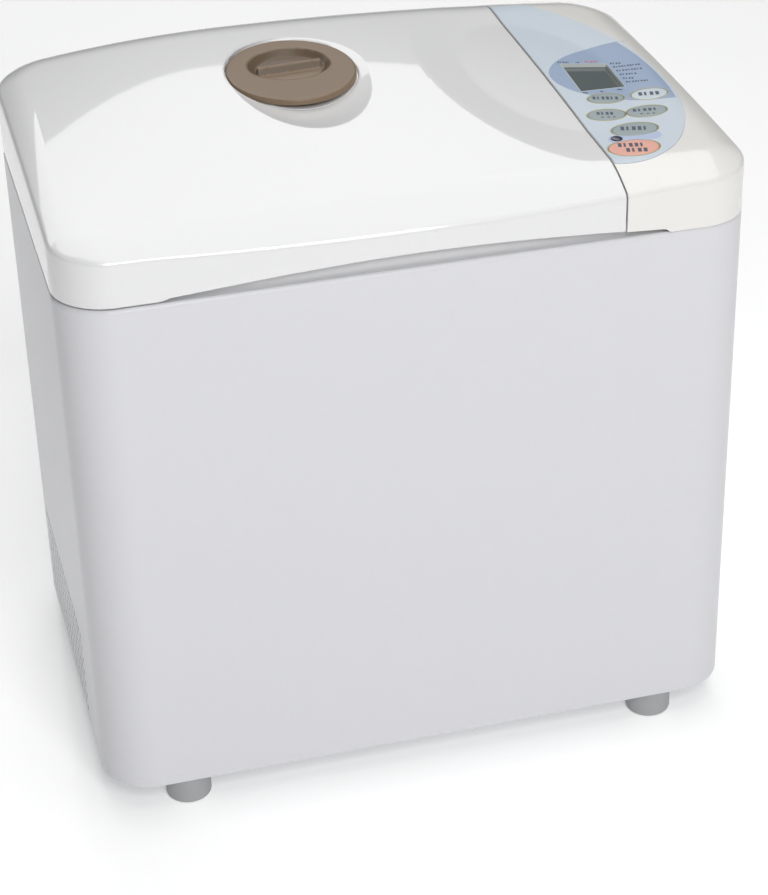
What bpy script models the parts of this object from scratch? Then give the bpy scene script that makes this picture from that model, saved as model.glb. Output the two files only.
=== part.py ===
"""Bread machine with a hinged lid, an ingredient dispenser and a side control housing.

Sizes are in millimetres in this script and become metres where a mesh is made.
The machine stands on z = 0 with its front towards -Y and its controls on the +X side.
"""

import math

import bmesh
import bpy
from mathutils import Vector

MM = 0.001
MERGE = 0.00001
GAP = 0.3
CORNER_STEPS = 6

# --- Driving dimensions ---------------------------------------------------------------
WIDTH = 360.0
DEPTH = 243.0
CORNER = 29.0
FOOT_HEIGHT = 12.7
FOOT_DROP = 2.9
FOOT_X = 134.7
FOOT_Y = 108.5
FOOT_R = 12.6
CASE_TOP = 302.7
CASE_WALL = 0.9
PLATE_WALL = 1.2
SEAM_X = 108.0
SEAM_GAP = 1.0
SHELL_WALL = 2.5
VENT_ROWS = 4
VENT_COLUMNS = 7
VENT_Y = -50.0
VENT_Z = 28.0
VENT_PITCH_Y = 22.0
VENT_PITCH_Z = 12.0
VENT_W = 14.0
VENT_H = 4.6

# Top surface shared by the lid and the control housing
CREST_X = -50.0
CREST_Z = 352.5
CREST_RADIUS_LEFT = 850.0
CREST_RADIUS_RIGHT = 2400.0
FRONT_Z = 335.6
FRONT_Y = -95.0
REAR_Y = 104.0
BULGE = 1.8
CREASE_Z = 323.3
CREASE_RISE = 6.3
CREASE_HALF = 157.0
FRONT_SHOULDER = 26.0
SIDE_SHOULDER = 16.0
REAR_SHOULDER = 17.0
SIDE_DROP = 5.0
REAR_DROP = 3.5
PANEL_X = 108.0
PANEL_Y = 11.0
PANEL_A = 60.9
PANEL_B = 113.0
PANEL_TURN = math.radians(7.7)
DISH_DEPTH = 1.8
DISH_BAND = 0.35

# Finger recess under the front edge
ARCH_LEFT = -128.0
ARCH_RIGHT = 131.0
ARCH_HEIGHT = 8.0
LID_CLEAR = 1.2

# Dispenser: an oval cover that sits in an egg-shaped scoop
COVER_X = -24.6
COVER_Y = 45.2
COVER_A = 35.4
COVER_B = 38.4
COVER_TOP = 0.4
COVER_THICK = 3.4
SEAT_GAP = 0.8
SEAT_DEPTH = 3.6
SEAT_TROUGH = 2.6
SEAT_RELIEF = 1.9
SCOOP_X = -22.0
SCOOP_Y = 45.5
SCOOP_A = 38.6
SCOOP_FRONT = 72.5
SCOOP_REAR = 41.5
SCOOP_DEPTH = 7.0
HOLE_A = 31.0
HOLE_B = 33.5
FINGER_DISH_A = 24.0
FINGER_DISH_B = 21.0
FINGER_DISH_X = -24.0
FINGER_DISH_Y = 53.0
FINGER_DISH_DEPTH = 4.0

# Hinges of the lid, the dispenser cover and the dispenser flap
LID_PIVOT = Vector((0.0, 112.0, 315.0))
REAR_SKIRT_Z = 311.2
HINGES = (("left", -120.0), ("right", 60.0))
COVER_PIVOT_Y = 80.6
FLAP_PIVOT = Vector((COVER_X, 83.0, 304.2))

# Oven, pan and drive
OVEN_X = -36.0
OVEN_W = 224.0
OVEN_D = 190.0
OVEN_R = 30.0
OVEN_WALL = 0.9
OVEN_FLOOR = 62.0
OVEN_TOP = 301.6
PAN_FLOOR = 88.0
PAN_TOP = 262.0
PAN_W = 190.0
PAN_D = 146.0
PAN_R = 32.0
BAIL_Z = 252.0
BAIL_X = 103.0
BAIL_REACH = 84.0
BAIL_R = 2.5
MOTOR_X = 131.0
CHASSIS_Z = 50.0
PULLEY_R = 50.0
MOTOR_PULLEY_R = 9.0
BELT_Z = (29.0, 35.0)
GLAND_X = 140.0
GLAND_Z = 42.0

# Controls
BOARD_Z = 318.0
LABEL_REAR = 111.0
LABEL_ROWS = 18
LCD_X = 132.1
LCD_Y = 0.0
LCD_W = 24.2
LCD_D = 29.4
LCD_TURN = -2.5
LAMP_X = 119.3
LAMP_Y = -73.9
LAMP_R = 2.85
KEY_TURN = -2.0
KEY_RISE = 1.3
BUTTONS = {
    "select_button": (130.6, -26.3, 19.4, 11.1),
    "menu_button": (154.7, -27.4, 19.7, 12.8),
    "size_button": (124.1, -45.4, 20.2, 12.1),
    "crust_button": (145.9, -47.1, 21.1, 12.6),
    "timer_button": (132.2, -65.9, 24.2, 15.1),
    "start_stop_button": (124.2, -86.3, 26.5, 17.6),
}

# --- Colours: base colour, roughness, metallic ------------------------------------------
CASE_WHITE = ((0.78, 0.78, 0.81), 0.30, 0.0)
GLOSS_WHITE = ((0.86, 0.86, 0.85), 0.18, 0.0)
WARM_WHITE = ((0.86, 0.84, 0.79), 0.25, 0.0)
FRAME_GREY = ((0.62, 0.62, 0.62), 0.5, 0.0)
FOOT_GREY = ((0.40, 0.42, 0.43), 0.6, 0.0)
SMOKY_BROWN = ((0.24, 0.17, 0.11), 0.3, 0.0)
LABEL_BLUE = ((0.58, 0.68, 0.80), 0.4, 0.0)
KEY_GREEN = ((0.32, 0.39, 0.39), 0.45, 0.0)
KEY_PINK = ((0.75, 0.42, 0.34), 0.45, 0.0)
LCD_GREY = ((0.15, 0.18, 0.16), 0.2, 0.0)
STEEL = ((0.62, 0.62, 0.62), 0.35, 1.0)
ZINC_STEEL = ((0.50, 0.51, 0.52), 0.45, 1.0)
ALUMINIUM = ((0.66, 0.66, 0.67), 0.4, 1.0)
NONSTICK = ((0.05, 0.05, 0.055), 0.45, 0.0)
BRONZE = ((0.55, 0.38, 0.20), 0.4, 1.0)
BLACK_PLASTIC = ((0.03, 0.03, 0.03), 0.5, 0.0)
RUBBER = ((0.04, 0.04, 0.04), 0.8, 0.0)
BOARD_GREEN = ((0.06, 0.22, 0.10), 0.5, 0.0)
SILICONE = ((0.55, 0.55, 0.53), 0.7, 0.0)
COPPER = ((0.60, 0.30, 0.15), 0.4, 1.0)


# --- Surface functions --------------------------------------------------------------------
def clamp(value, low=0.0, high=1.0):
    return max(low, min(high, value))


def smooth(value):
    t = clamp(value)
    return t * t * (3 - 2 * t)


def edge_distance(x, y):
    """Distance in from the body's outline, and the outward direction there."""
    dx = abs(x) - (WIDTH / 2 - CORNER)
    dy = abs(y) - (DEPTH / 2 - CORNER)
    if dx > 0 and dy > 0:
        reach = math.hypot(dx, dy)
        return CORNER - reach, math.copysign(dx / reach, x), math.copysign(dy / reach, y)
    if dx > dy:
        return CORNER - dx, math.copysign(1.0, x), 0.0
    return CORNER - dy, 0.0, math.copysign(1.0, y)


def crown_z(x, y):
    """The top surface without its rounded edges."""
    radius = CREST_RADIUS_LEFT if x < CREST_X else CREST_RADIUS_RIGHT
    rear = CREST_Z - (x - CREST_X) ** 2 / (2 * radius)
    t = (y - FRONT_Y) / (REAR_Y - FRONT_Y)
    return FRONT_Z + (rear - FRONT_Z) * t + BULGE * 4 * t * (1 - t)


def dish_depth(x, y):
    """The shallow oval dish around the panel, which runs across the seam."""
    c, s = math.cos(PANEL_TURN), math.sin(PANEL_TURN)
    u = (x - PANEL_X) * c + (y - PANEL_Y) * s
    v = (y - PANEL_Y) * c - (x - PANEL_X) * s
    return DISH_DEPTH * clamp((1 - math.hypot(u / PANEL_A, v / PANEL_B)) / DISH_BAND)


def top_z(x, y):
    """The finished top surface of the lid and the control housing."""
    inset, nx, ny = edge_distance(x, y)
    crease = CREASE_Z + CREASE_RISE * (x / CREASE_HALF) ** 2
    front_drop = max(crown_z(x, -DEPTH / 2) - crease, SIDE_DROP)
    front, rear, side = max(-ny, 0) ** 2, max(ny, 0) ** 2, nx * nx
    drop = front * front_drop + rear * REAR_DROP + side * SIDE_DROP
    width = front * FRONT_SHOULDER + rear * REAR_SHOULDER + side * SIDE_SHOULDER
    fall = drop * (1 - clamp(inset / max(width, 1.0))) ** 1.7
    return crown_z(x, y) - fall - dish_depth(x, y)


def scoop_half(y):
    return SCOOP_FRONT if y < SCOOP_Y else SCOOP_REAR


def scoop_depth(x, y):
    rho2 = ((x - SCOOP_X) / SCOOP_A) ** 2 + ((y - SCOOP_Y) / scoop_half(y)) ** 2
    return SCOOP_DEPTH * max(1 - rho2, 0)


def seat_depth(y):
    return SEAT_DEPTH + SEAT_TROUGH * smooth((y - 66) / 8)


def seat_point(point, inward=0.0):
    """The wall of the cover's seat, wider behind the hinge so that the cover can swing."""
    x, y = polar(point, COVER_A + SEAT_GAP - inward, COVER_B + SEAT_GAP - inward)
    relief = SEAT_RELIEF * smooth((y - 66) / 8)
    return polar(point, COVER_A + SEAT_GAP - inward + relief, COVER_B + SEAT_GAP - inward + relief)


def arch_z(x):
    """Lower edge of the lid and housing over the finger recess."""
    t = clamp((x - ARCH_LEFT) / (ARCH_RIGHT - ARCH_LEFT))
    return CASE_TOP + LID_CLEAR + (ARCH_HEIGHT - LID_CLEAR) * math.sin(math.pi * t) ** 1.1


def skirt_z(x, y):
    """Lower edge of the lid and housing all round."""
    if y < -DEPTH / 2 + 3:
        return arch_z(x)
    level = CASE_TOP + LID_CLEAR
    return level + (REAR_SKIRT_Z - level) * smooth((y - 112.5) / 4)


# --- Mesh helpers ---------------------------------------------------------------------------
def ring(cx, cy, w, d, r, z, steps=CORNER_STEPS):
    """A rounded rectangle, counter-clockwise; z is a height or a function of x and y."""
    points = []
    for quarter, (sx, sy) in enumerate(((1, 1), (-1, 1), (-1, -1), (1, -1))):
        for i in range(steps + 1):
            a = math.radians(90 * (quarter + i / steps))
            x = cx + sx * (w / 2 - r) + r * math.cos(a)
            y = cy + sy * (d / 2 - r) + r * math.sin(a)
            points.append((x, y, z(x, y) if callable(z) else z))
    return points


def disc(cx, cy, r, z, steps=CORNER_STEPS):
    return ring(cx, cy, 2 * r, 2 * r, r, z, steps)


def oval(cx, cy, a, b, z, count=32, turn=0.0):
    """An ellipse with half-sizes a and b, turned by some degrees."""
    points = []
    c, s = math.cos(math.radians(turn)), math.sin(math.radians(turn))
    for i in range(count):
        t = 2 * math.pi * i / count
        u, v = a * math.cos(t), b * math.sin(t)
        x, y = cx + u * c - v * s, cy + u * s + v * c
        points.append((x, y, z(x, y) if callable(z) else z))
    return points


def body_ring(inset, z):
    return ring(0, 0, WIDTH - 2 * inset, DEPTH - 2 * inset, CORNER - inset, z)


def oven_ring(inset, z):
    return ring(OVEN_X, 0, OVEN_W - 2 * inset, OVEN_D - 2 * inset, OVEN_R - inset, z)


def pan_ring(inset, z, share):
    """share is 0 at the pan's floor and 1 at its rim."""
    w = PAN_W - 14 * (1 - share) - 2 * inset
    d = PAN_D - 14 * (1 - share) - 2 * inset
    return ring(OVEN_X, 0, w, d, PAN_R - 4 * (1 - share) - inset, z)


def loft(rings, closed=False, bm=None):
    """A closed solid through the rings: capped at both ends, or joined end to end."""
    bm = bm or bmesh.new()
    rows = [[bm.verts.new(Vector(p) * MM) for p in points] for points in rings]
    count = len(rows[0])
    pairs = list(zip(rows, rows[1:]))
    if closed:
        pairs.append((rows[-1], rows[0]))
    for low, high in pairs:
        for i in range(count):
            j = (i + 1) % count
            bm.faces.new((low[i], low[j], high[j], high[i]))
    if not closed:
        bm.faces.new(rows[0])
        bm.faces.new(rows[-1])
    return bm


def box(x0, x1, y0, y1, z0, z1, bm=None):
    corners = ((x0, y0), (x1, y0), (x1, y1), (x0, y1))
    return loft([[(x, y, z) for x, y in corners] for z in (z0, z1)], bm=bm)


def tube(cx, cy, outer, inner, z0, z1):
    rings = [disc(cx, cy, outer, z0), disc(cx, cy, outer, z1)]
    rings += [disc(cx, cy, inner, z1), disc(cx, cy, inner, z0)]
    return loft(rings, closed=True)


def rod(start, end, r, sides=16, bm=None):
    """A round bar between two points."""
    start, end = Vector(start), Vector(end)
    turn = Vector((0, 0, 1)).rotation_difference(end - start).to_matrix()
    rings = []
    for centre in (start, end):
        spokes = [2 * math.pi * i / sides for i in range(sides)]
        rings.append([centre + turn @ Vector((r * math.cos(a), r * math.sin(a), 0)) for a in spokes])
    return loft(rings, bm=bm)


def pipe(path, r, sides=10, closed=False):
    """A round wire along a path of points."""
    path = [Vector(p) for p in path]
    last = len(path) - 1
    rings = []
    normal = None
    for i, point in enumerate(path):
        before = path[i - 1] if i or closed else point
        after = path[(i + 1) % len(path)] if i < last or closed else point
        along = (after - before).normalized()
        if normal is None:
            normal = along.orthogonal().normalized()
        normal = (normal - along * normal.dot(along)).normalized()
        side = along.cross(normal)
        angles = [2 * math.pi * k / sides for k in range(sides)]
        rings.append([point + (normal * math.cos(a) + side * math.sin(a)) * r for a in angles])
    return loft(rings, closed=closed)


def slab(rows, low, high):
    """A solid between two surfaces over a grid of (x, y) points."""
    bm = bmesh.new()
    sheets = []
    for surface in (low, high):
        sheets.append([[bm.verts.new(Vector((x, y, surface(x, y))) * MM) for x, y in row] for row in rows])
    for sheet in sheets:
        quilt(bm, sheet)
    for low_edge, high_edge in zip(rim_of(sheets[0]), rim_of(sheets[1])):
        bm.faces.new((low_edge[0], low_edge[1], high_edge[1], high_edge[0]))
    return bm


def quilt(bm, sheet):
    for row, following in zip(sheet, sheet[1:]):
        for i in range(len(row) - 1):
            bm.faces.new((row[i], row[i + 1], following[i + 1], following[i]))


def rim_of(sheet):
    """The edges round a grid of vertices, as pairs."""
    border = list(sheet[0])
    border += [row[-1] for row in sheet[1:]]
    border += list(reversed(sheet[-1]))[1:]
    border += [row[0] for row in reversed(sheet)][1:]
    return list(zip(border, border[1:]))


def add(name, bm, look, pivot=(0, 0, 0), smooth_shading=True):
    """Makes one object with its own material and its origin at the pivot."""
    bmesh.ops.remove_doubles(bm, verts=bm.verts, dist=MERGE)
    bmesh.ops.recalc_face_normals(bm, faces=bm.faces)
    origin = Vector(pivot) * MM
    bmesh.ops.translate(bm, verts=bm.verts, vec=-origin)
    mesh = bpy.data.meshes.new(name)
    bm.to_mesh(mesh)
    bm.free()
    if smooth_shading:
        mesh.shade_smooth()
        mesh.set_sharp_from_angle(angle=math.radians(35))
    mesh.materials.append(material(name, *look))
    item = bpy.data.objects.new(name, mesh)
    item.location = origin + Vector((0, 0, FOOT_DROP * MM))
    bpy.context.scene.collection.objects.link(item)
    return item


def material(name, colour, roughness, metallic):
    made = bpy.data.materials.new(name)
    made.use_nodes = True
    shader = made.node_tree.nodes["Principled BSDF"]
    shader.inputs["Base Color"].default_value = (*colour, 1.0)
    shader.inputs["Roughness"].default_value = roughness
    shader.inputs["Metallic"].default_value = metallic
    return made


def cut(item, bm, operation="DIFFERENCE"):
    """Cuts a hidden solid out of an object, or joins it on."""
    cutter = add("%s_tool_%d" % (item.name, len(item.modifiers) + 1), bm, ZINC_STEEL)
    cutter.hide_render = True
    cutter.display_type = "WIRE"
    boolean = item.modifiers.new(operation.lower(), "BOOLEAN")
    boolean.object = cutter
    boolean.operation = operation
    boolean.solver = "EXACT"


# --- Outlines that stop at the seam ------------------------------------------------------------
def stations(cut_x, sign, along_front, along_side, around_corner):
    """Points round one part of the body outline that stops at the seam.

    Each is (x, y), the direction in from the edge, and the direction through the wall.
    """
    half_w, half_d = WIDTH / 2 - CORNER, DEPTH / 2
    out = []

    def front_run(y_sign, order):
        for i in order:
            x = cut_x + (sign * half_w - cut_x) * i / along_front
            wall_x = sign if i == 0 else 0
            out.append(((x, y_sign * half_d), (0, -y_sign), (wall_x, -y_sign)))

    def corner(y_sign, order):
        for i in order:
            a = math.radians(90 * i / around_corner)
            nx, ny = sign * math.sin(a), y_sign * math.cos(a)
            x = sign * half_w + CORNER * nx
            y = y_sign * (half_d - CORNER) + CORNER * ny
            out.append(((x, y), (-nx, -ny), (-nx, -ny)))

    front_run(-1, range(along_front + 1))
    corner(-1, range(1, around_corner + 1))
    for i in range(1, along_side):
        y = (half_d - CORNER) * (2 * i / along_side - 1)
        out.append(((sign * WIDTH / 2, y), (-sign, 0), (-sign, 0)))
    corner(1, range(around_corner, 0, -1))
    front_run(1, range(along_front, -1, -1))
    for share in seam_shares(along_side):
        y = half_d * share
        out.append(((cut_x, y), (0, -share), (sign, -share)))
    return out


def seam_shares(count):
    """Places down the seam from the rear to the front, as shares of the half depth."""
    inner = [0.94 - 1.78 * i / count for i in range(count + 1)]
    return inner + [-0.92, -0.992]


def at(station, wall, inset):
    (x, y), (ix, iy), (wx, wy) = station
    return x + wx * wall + ix * (inset - wall * bool(ix or iy)), y + wy * wall + iy * (inset - wall)


# --- Body ----------------------------------------------------------------------------------------
def outer_case():
    profile = [(0, FOOT_HEIGHT), (0, CASE_TOP - 2), (0.6, CASE_TOP - 0.6), (2, CASE_TOP)]
    profile += [(3.4, CASE_TOP - 0.6), (4, CASE_TOP - 2), (4, CASE_TOP - 3.2)]
    profile += [(CASE_WALL, CASE_TOP - 3.2), (CASE_WALL, FOOT_HEIGHT)]
    case = add("outer_case", loft([body_ring(d, z) for d, z in profile], closed=True), CASE_WHITE)
    holes = bmesh.new()
    for side in (-1, 1):
        for row in range(VENT_ROWS):
            for column in range(VENT_COLUMNS):
                x = side * WIDTH / 2
                y = VENT_Y + VENT_PITCH_Y * column
                z = VENT_Z + VENT_PITCH_Z * row
                box(x - 6, x + 6, y - VENT_W / 2, y + VENT_W / 2, z - VENT_H / 2, z + VENT_H / 2, bm=holes)
    gland = (GLAND_X - 11.4, GLAND_X + 11.4, DEPTH / 2 - 6, DEPTH / 2 + 6, GLAND_Z - 7.4, GLAND_Z + 7.4)
    box(*gland, bm=holes)
    cut(case, holes)


def base_plate():
    inset, low, high = CASE_WALL + GAP, FOOT_HEIGHT + GAP, FOOT_HEIGHT + 10
    rings = [body_ring(inset, low), body_ring(inset, high)]
    rings += [body_ring(inset + PLATE_WALL, high), body_ring(inset + PLATE_WALL, low + PLATE_WALL)]
    plate = add("base_plate", loft(rings), ZINC_STEEL)
    air = box(-104, -68, -30, 30, 5, 20)
    box(104, 152, -30, 30, 5, 20, bm=air)
    cut(plate, air)


def feet():
    for name, sx, sy in (
        ("foot_front_left", -1, -1),
        ("foot_front_right", 1, -1),
        ("foot_rear_left", -1, 1),
        ("foot_rear_right", 1, 1),
    ):
        low = -FOOT_DROP
        profile = [(FOOT_R - 1.4, low), (FOOT_R - 0.4, low + 0.5), (FOOT_R, low + 1.6), (FOOT_R, FOOT_HEIGHT)]
        add(name, loft([disc(FOOT_X * sx, FOOT_Y * sy, r, z) for r, z in profile]), FOOT_GREY)


def top_frame():
    def rim_z(x, y):
        return 311.0 - 6.8 * smooth((y - 84) / 10)

    rings = [body_ring(4.5, 301.0), body_ring(4.5, rim_z), body_ring(7.5, rim_z), body_ring(7.5, 304.2)]
    rings += [oven_ring(1.5, 304.2), oven_ring(1.5, 301.9), body_ring(8.5, 301.9), body_ring(8.5, 301.0)]
    add("top_frame", loft(rings, closed=True), FRAME_GREY)


def housing_rows(wall, y_stations, shares):
    """A grid over the control housing's plan, inset by its wall."""
    half_d, x0 = DEPTH / 2 - wall, SEAM_X + SEAM_GAP / 2 + wall
    rows = []
    for y in y_stations:
        y = y * half_d
        beyond = abs(y) - (DEPTH / 2 - CORNER)
        reach = CORNER - wall
        if beyond > 0:
            x1 = WIDTH / 2 - CORNER + math.sqrt(max(reach * reach - beyond * beyond, 0))
        else:
            x1 = WIDTH / 2 - wall
        rows.append([(x0 + (x1 - x0) * share, y) for share in shares])
    return rows


def housing_stations():
    near = [1.0, 0.992, 0.972, 0.94, 0.90, 0.85, 0.79, 0.66, 0.44, 0.22]
    return [-v for v in near] + [0.0] + near[::-1]


def control_housing():
    y_stations = housing_stations()
    shares = [0.0, 0.3, 0.6, 0.8, 0.9, 0.96, 0.99, 1.0]
    bm = bmesh.new()
    sheets, feet_rows = [], []
    for wall in (0.0, SHELL_WALL):
        rows = housing_rows(wall, y_stations, shares)
        sheet = [[(x, y, top_z(x, y) - wall) for x, y in row] for row in rows]
        sheets.append([[bm.verts.new(Vector(p) * MM) for p in row] for row in sheet])
        quilt(bm, sheets[-1])
        feet_rows.append([pair[0] for pair in rim_of(sheets[-1])])
    lower = []
    for border in feet_rows:
        feet_points = [(v.co.x, v.co.y, housing_skirt_z(v.co.x / MM, v.co.y / MM) * MM) for v in border]
        lower.append([bm.verts.new(p) for p in feet_points])
    loops = (feet_rows[0], lower[0], lower[1], feet_rows[1])
    for first, second in zip(loops, loops[1:]):
        for i in range(len(first)):
            j = (i + 1) % len(first)
            bm.faces.new((first[i], first[j], second[j], second[i]))
    housing = add("control_housing", bm, WARM_WHITE)
    cut(housing, label_slab(0.3, -0.05, 9.0))
    cut(housing, panel_cutters(0.35, 300.5, 360))


def seam_wall_z(y):
    """Lower edge of the walls beside the seam, which step over the frame's rim."""
    return 312.0 if y < -108 else 305.2


def housing_skirt_z(x, y):
    """The housing sits on the case, except over the finger recess and along the seam."""
    if x < SEAM_X + 4 and abs(y) < DEPTH / 2 - SHELL_WALL - 0.1:
        return seam_wall_z(y)
    if y < -DEPTH / 2 + 3 and x < ARCH_RIGHT:
        return arch_z(x)
    return CASE_TOP + GAP


def panel_cutters(clearance, z0, z1):
    """Solids for the openings of the screen, the lamp and the buttons."""
    bm = loft([disc(LAMP_X, LAMP_Y, LAMP_R + clearance, z, 4) for z in (z0, z1)])
    w, d = LCD_W + 2 * clearance, LCD_D + 2 * clearance
    loft([turned_box(LCD_X, LCD_Y, w, d, LCD_TURN, z) for z in (z0, z1)], bm=bm)
    for x, y, w, d in BUTTONS.values():
        rings = [oval(x, y, w / 2 + clearance, d / 2 + clearance, z, 24, KEY_TURN) for z in (z0, z1)]
        loft(rings, bm=bm)
    return bm


def turned_box(x, y, w, d, turn, z):
    c, s = math.cos(math.radians(turn)), math.sin(math.radians(turn))
    corners = ((w / 2, d / 2), (-w / 2, d / 2), (-w / 2, -d / 2), (w / 2, -d / 2))
    points = [(x + u * c - v * s, y + u * s + v * c) for u, v in corners]
    return [(px, py, z(px, py) if callable(z) else z) for px, py in points]


def panel_span(y, margin):
    """The panel oval's left and right limits at one depth."""
    a, b, across = PANEL_A + margin, PANEL_B + margin, y - PANEL_Y
    c, s = math.cos(PANEL_TURN), math.sin(PANEL_TURN)
    square = (c / a) ** 2 + (s / b) ** 2
    linear = c * s * across * (1 / a ** 2 - 1 / b ** 2)
    constant = across ** 2 * ((s / a) ** 2 + (c / b) ** 2) - 1
    reach = math.sqrt(max(linear ** 2 - square * constant, 0)) / square
    middle = PANEL_X - linear / square
    return middle - reach, middle + reach


def label_slab(margin, low, high):
    """The part of the panel oval on the housing, between two heights over the top surface."""
    seam = SEAM_X + SEAM_GAP / 2 + 0.4 - margin
    a, b = PANEL_A + margin, PANEL_B + margin
    front = PANEL_Y - math.hypot(a * math.sin(PANEL_TURN), b * math.cos(PANEL_TURN)) + 0.05
    rear = LABEL_REAR + margin
    rows = []
    for i in range(LABEL_ROWS + 1):
        y = front + (rear - front) * (1 - math.cos(math.pi / 2 * i / LABEL_ROWS))
        left, right = panel_span(y, margin)
        left = max(left, seam)
        rows.append([(left + (right - left) * share, y) for share in (0, 0.34, 0.67, 1)])
    return slab(rows, lambda x, y: top_z(x, y) + low, lambda x, y: top_z(x, y) + high)


def panel_label():
    label = add("panel_label", label_slab(0.0, 0.25, 0.75), LABEL_BLUE)
    cut(label, panel_cutters(0.35, 300.5, 360))


def screen():
    def glass(x, y):
        return top_z(x, y) + 0.6

    rings = [turned_box(LCD_X, LCD_Y, LCD_W, LCD_D, LCD_TURN, z) for z in (333.5, glass)]
    add("lcd_window", loft(rings), LCD_GREY)
    rings = [turned_box(LCD_X, LCD_Y, LCD_W + 6, LCD_D + 6, LCD_TURN, z) for z in (BOARD_Z + 2, 333.0)]
    add("lcd_module", loft(rings), BLACK_PLASTIC)


def timer_lamp():
    rings = [disc(LAMP_X, LAMP_Y, LAMP_R, BOARD_Z + 2, 4)]
    rings.append(disc(LAMP_X, LAMP_Y, LAMP_R, lambda x, y: top_z(x, y) + 0.8, 4))
    rings.append(disc(LAMP_X, LAMP_Y, LAMP_R * 0.6, lambda x, y: top_z(x, y) + 1.3, 4))
    add("timer_lamp", loft(rings), SMOKY_BROWN)


def buttons():
    for name, (x, y, w, d) in BUTTONS.items():
        def shoulder(px, py):
            return top_z(px, py) + KEY_RISE - 0.5

        def crown(px, py):
            return top_z(px, py) + KEY_RISE

        rings = [oval(x, y, w / 2, d / 2, BOARD_Z + 3.4, 24, KEY_TURN)]
        rings.append(oval(x, y, w / 2, d / 2, shoulder, 24, KEY_TURN))
        rings.append(oval(x, y, w / 2 * 0.9, d / 2 * 0.86, crown, 24, KEY_TURN))
        look = KEY_PINK if name == "start_stop_button" else KEY_GREEN
        add(name, loft(rings), look, pivot=(x, y, BOARD_Z + 3.4))


def control_board():
    add("control_board", box(114, 172, -98, 60, BOARD_Z, BOARD_Z + 1.6), BOARD_GREEN, smooth_shading=False)


# --- Lid -------------------------------------------------------------------------------------------
def polar(point, a, b, centre=(COVER_X, COVER_Y)):
    """The point of an ellipse in the direction of another point."""
    angle = math.atan2((point[1] - centre[1]) / b, (point[0] - centre[0]) / a)
    return centre[0] + a * math.cos(angle), centre[1] + b * math.sin(angle)


def scoop_edge(point, margin):
    """The border of the scoop, in the direction of a point."""
    dx, dy = point[0] - SCOOP_X, point[1] - SCOOP_Y
    length = math.hypot(dx, dy)
    reach = 1 / math.hypot(dx / length / SCOOP_A, dy / length / scoop_half(point[1])) + margin
    return SCOOP_X + dx / length * reach, SCOOP_Y + dy / length * reach


def between(first, second, share):
    return tuple(a + (b - a) * share for a, b in zip(first, second))


def lid_cover():
    cut_x = SEAM_X - SEAM_GAP / 2
    points = stations(cut_x, -1, 14, 8, 6)
    rings = []

    def lower_z(station):
        x, y = station[0]
        on_seam = abs(x - cut_x) < 0.01 and abs(y) < DEPTH / 2 - 0.5
        return seam_wall_z(y) if on_seam else skirt_z(x, y)

    inner = [(x, y, lower_z(s)) for s in points for x, y in [at(s, SHELL_WALL, SHELL_WALL)]]
    outer = [(x, y, lower_z(s)) for s in points for x, y in [at(s, 0, 0)]]
    rings += [outer]
    for inset, under in ((0, 2.0), (0.8, 0.3), (3, 0), (8, 0), (15, 0), (26, 0)):
        row = [at(s, 0, inset) for s in points]
        rings.append([(x, y, top_z(x, y) - under) for x, y in row])
    edge = [(x, y) for x, y, z in rings[-1]]
    for share in (0.35, 0.7):
        row = [between(p, scoop_edge(p, 0), share) for p in edge]
        rings.append([(x, y, top_z(x, y)) for x, y in row])
    border = [scoop_edge(p, 0) for p in edge]
    seat = [seat_point(p) for p in edge]
    rings.append([(x, y, top_z(x, y)) for x, y in border])
    for share in (0.35, 0.7):
        row = [between(p, q, share) for p, q in zip(border, seat)]
        rings.append([(x, y, top_z(x, y) - scoop_depth(x, y)) for x, y in row])
    rings.append([(x, y, top_z(x, y) - scoop_depth(x, y)) for x, y in seat])
    ledge = [seat_point(p, 0.3) for p in edge]
    rings.append([(x, y, top_z(x, y) - max(scoop_depth(x, y), seat_depth(y))) for x, y in ledge])
    hole = [polar(p, HOLE_A, HOLE_B) for p in edge]
    rings.append([(x, y, top_z(x, y) - max(scoop_depth(x, y), seat_depth(y))) for x, y in hole])
    rings.append([(x, y, z - SHELL_WALL) for x, y, z in rings[-1]])
    outside = [seat_point(p, -2.0) for p in edge]
    row = []
    for (x, y), (sx, sy) in zip(outside, seat):
        row.append((x, y, top_z(x, y) - SHELL_WALL - max(scoop_depth(sx, sy), seat_depth(sy))))
    rings.append(row)
    rings.append([(x, y, top_z(x, y) - SHELL_WALL) for x, y in (scoop_edge(p, 3.5) for p in edge)])
    for inset in (26, 15, 8, 3.4):
        row = [at(s, SHELL_WALL, inset) for s in points]
        rings.append([(x, y, top_z(x, y) - SHELL_WALL - 0.5) for x, y in row])
    row = [at(s, SHELL_WALL, SHELL_WALL) for s in points]
    rings.append([(x, y, top_z(x, y) - SHELL_WALL - 2.0) for x, y in row])
    rings.append(inner)
    lid = add("lid_cover", loft(rings, closed=True), GLOSS_WHITE, pivot=LID_PIVOT)
    notches = bmesh.new()
    for side, x in HINGES:
        box(x - 10.5, x + 10.5, 117.5, 125, 300, 321, bm=notches)
    cut(lid, notches)


def lid_inner_plate():
    rings = [ring(-34, -4, 268, 214, 24, z) for z in (307.3, 309.8)]
    plate = add("lid_inner_plate", loft(rings), ALUMINIUM, pivot=LID_PIVOT)
    holes = loft([oval(COVER_X, COVER_Y, HOLE_A + 0.6, HOLE_B + 0.6, z) for z in (300, 320)])
    for i in range(5):
        x = -130 + 12 * i
        box(x - 2.5, x + 2.5, -70, -40, 300, 320, bm=holes)
    cut(plate, holes)
    x, y, z = FLAP_PIVOT
    lugs = box(x - 12.6, x - 9, y - 3, y + 3, z - 3, 308.0)
    box(x + 9, x + 12.6, y - 3, y + 3, z - 3, 308.0, bm=lugs)
    cut(plate, lugs, "UNION")
    cut(plate, rod((x - 20, y, z), (x + 20, y, z), 1.3))


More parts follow.
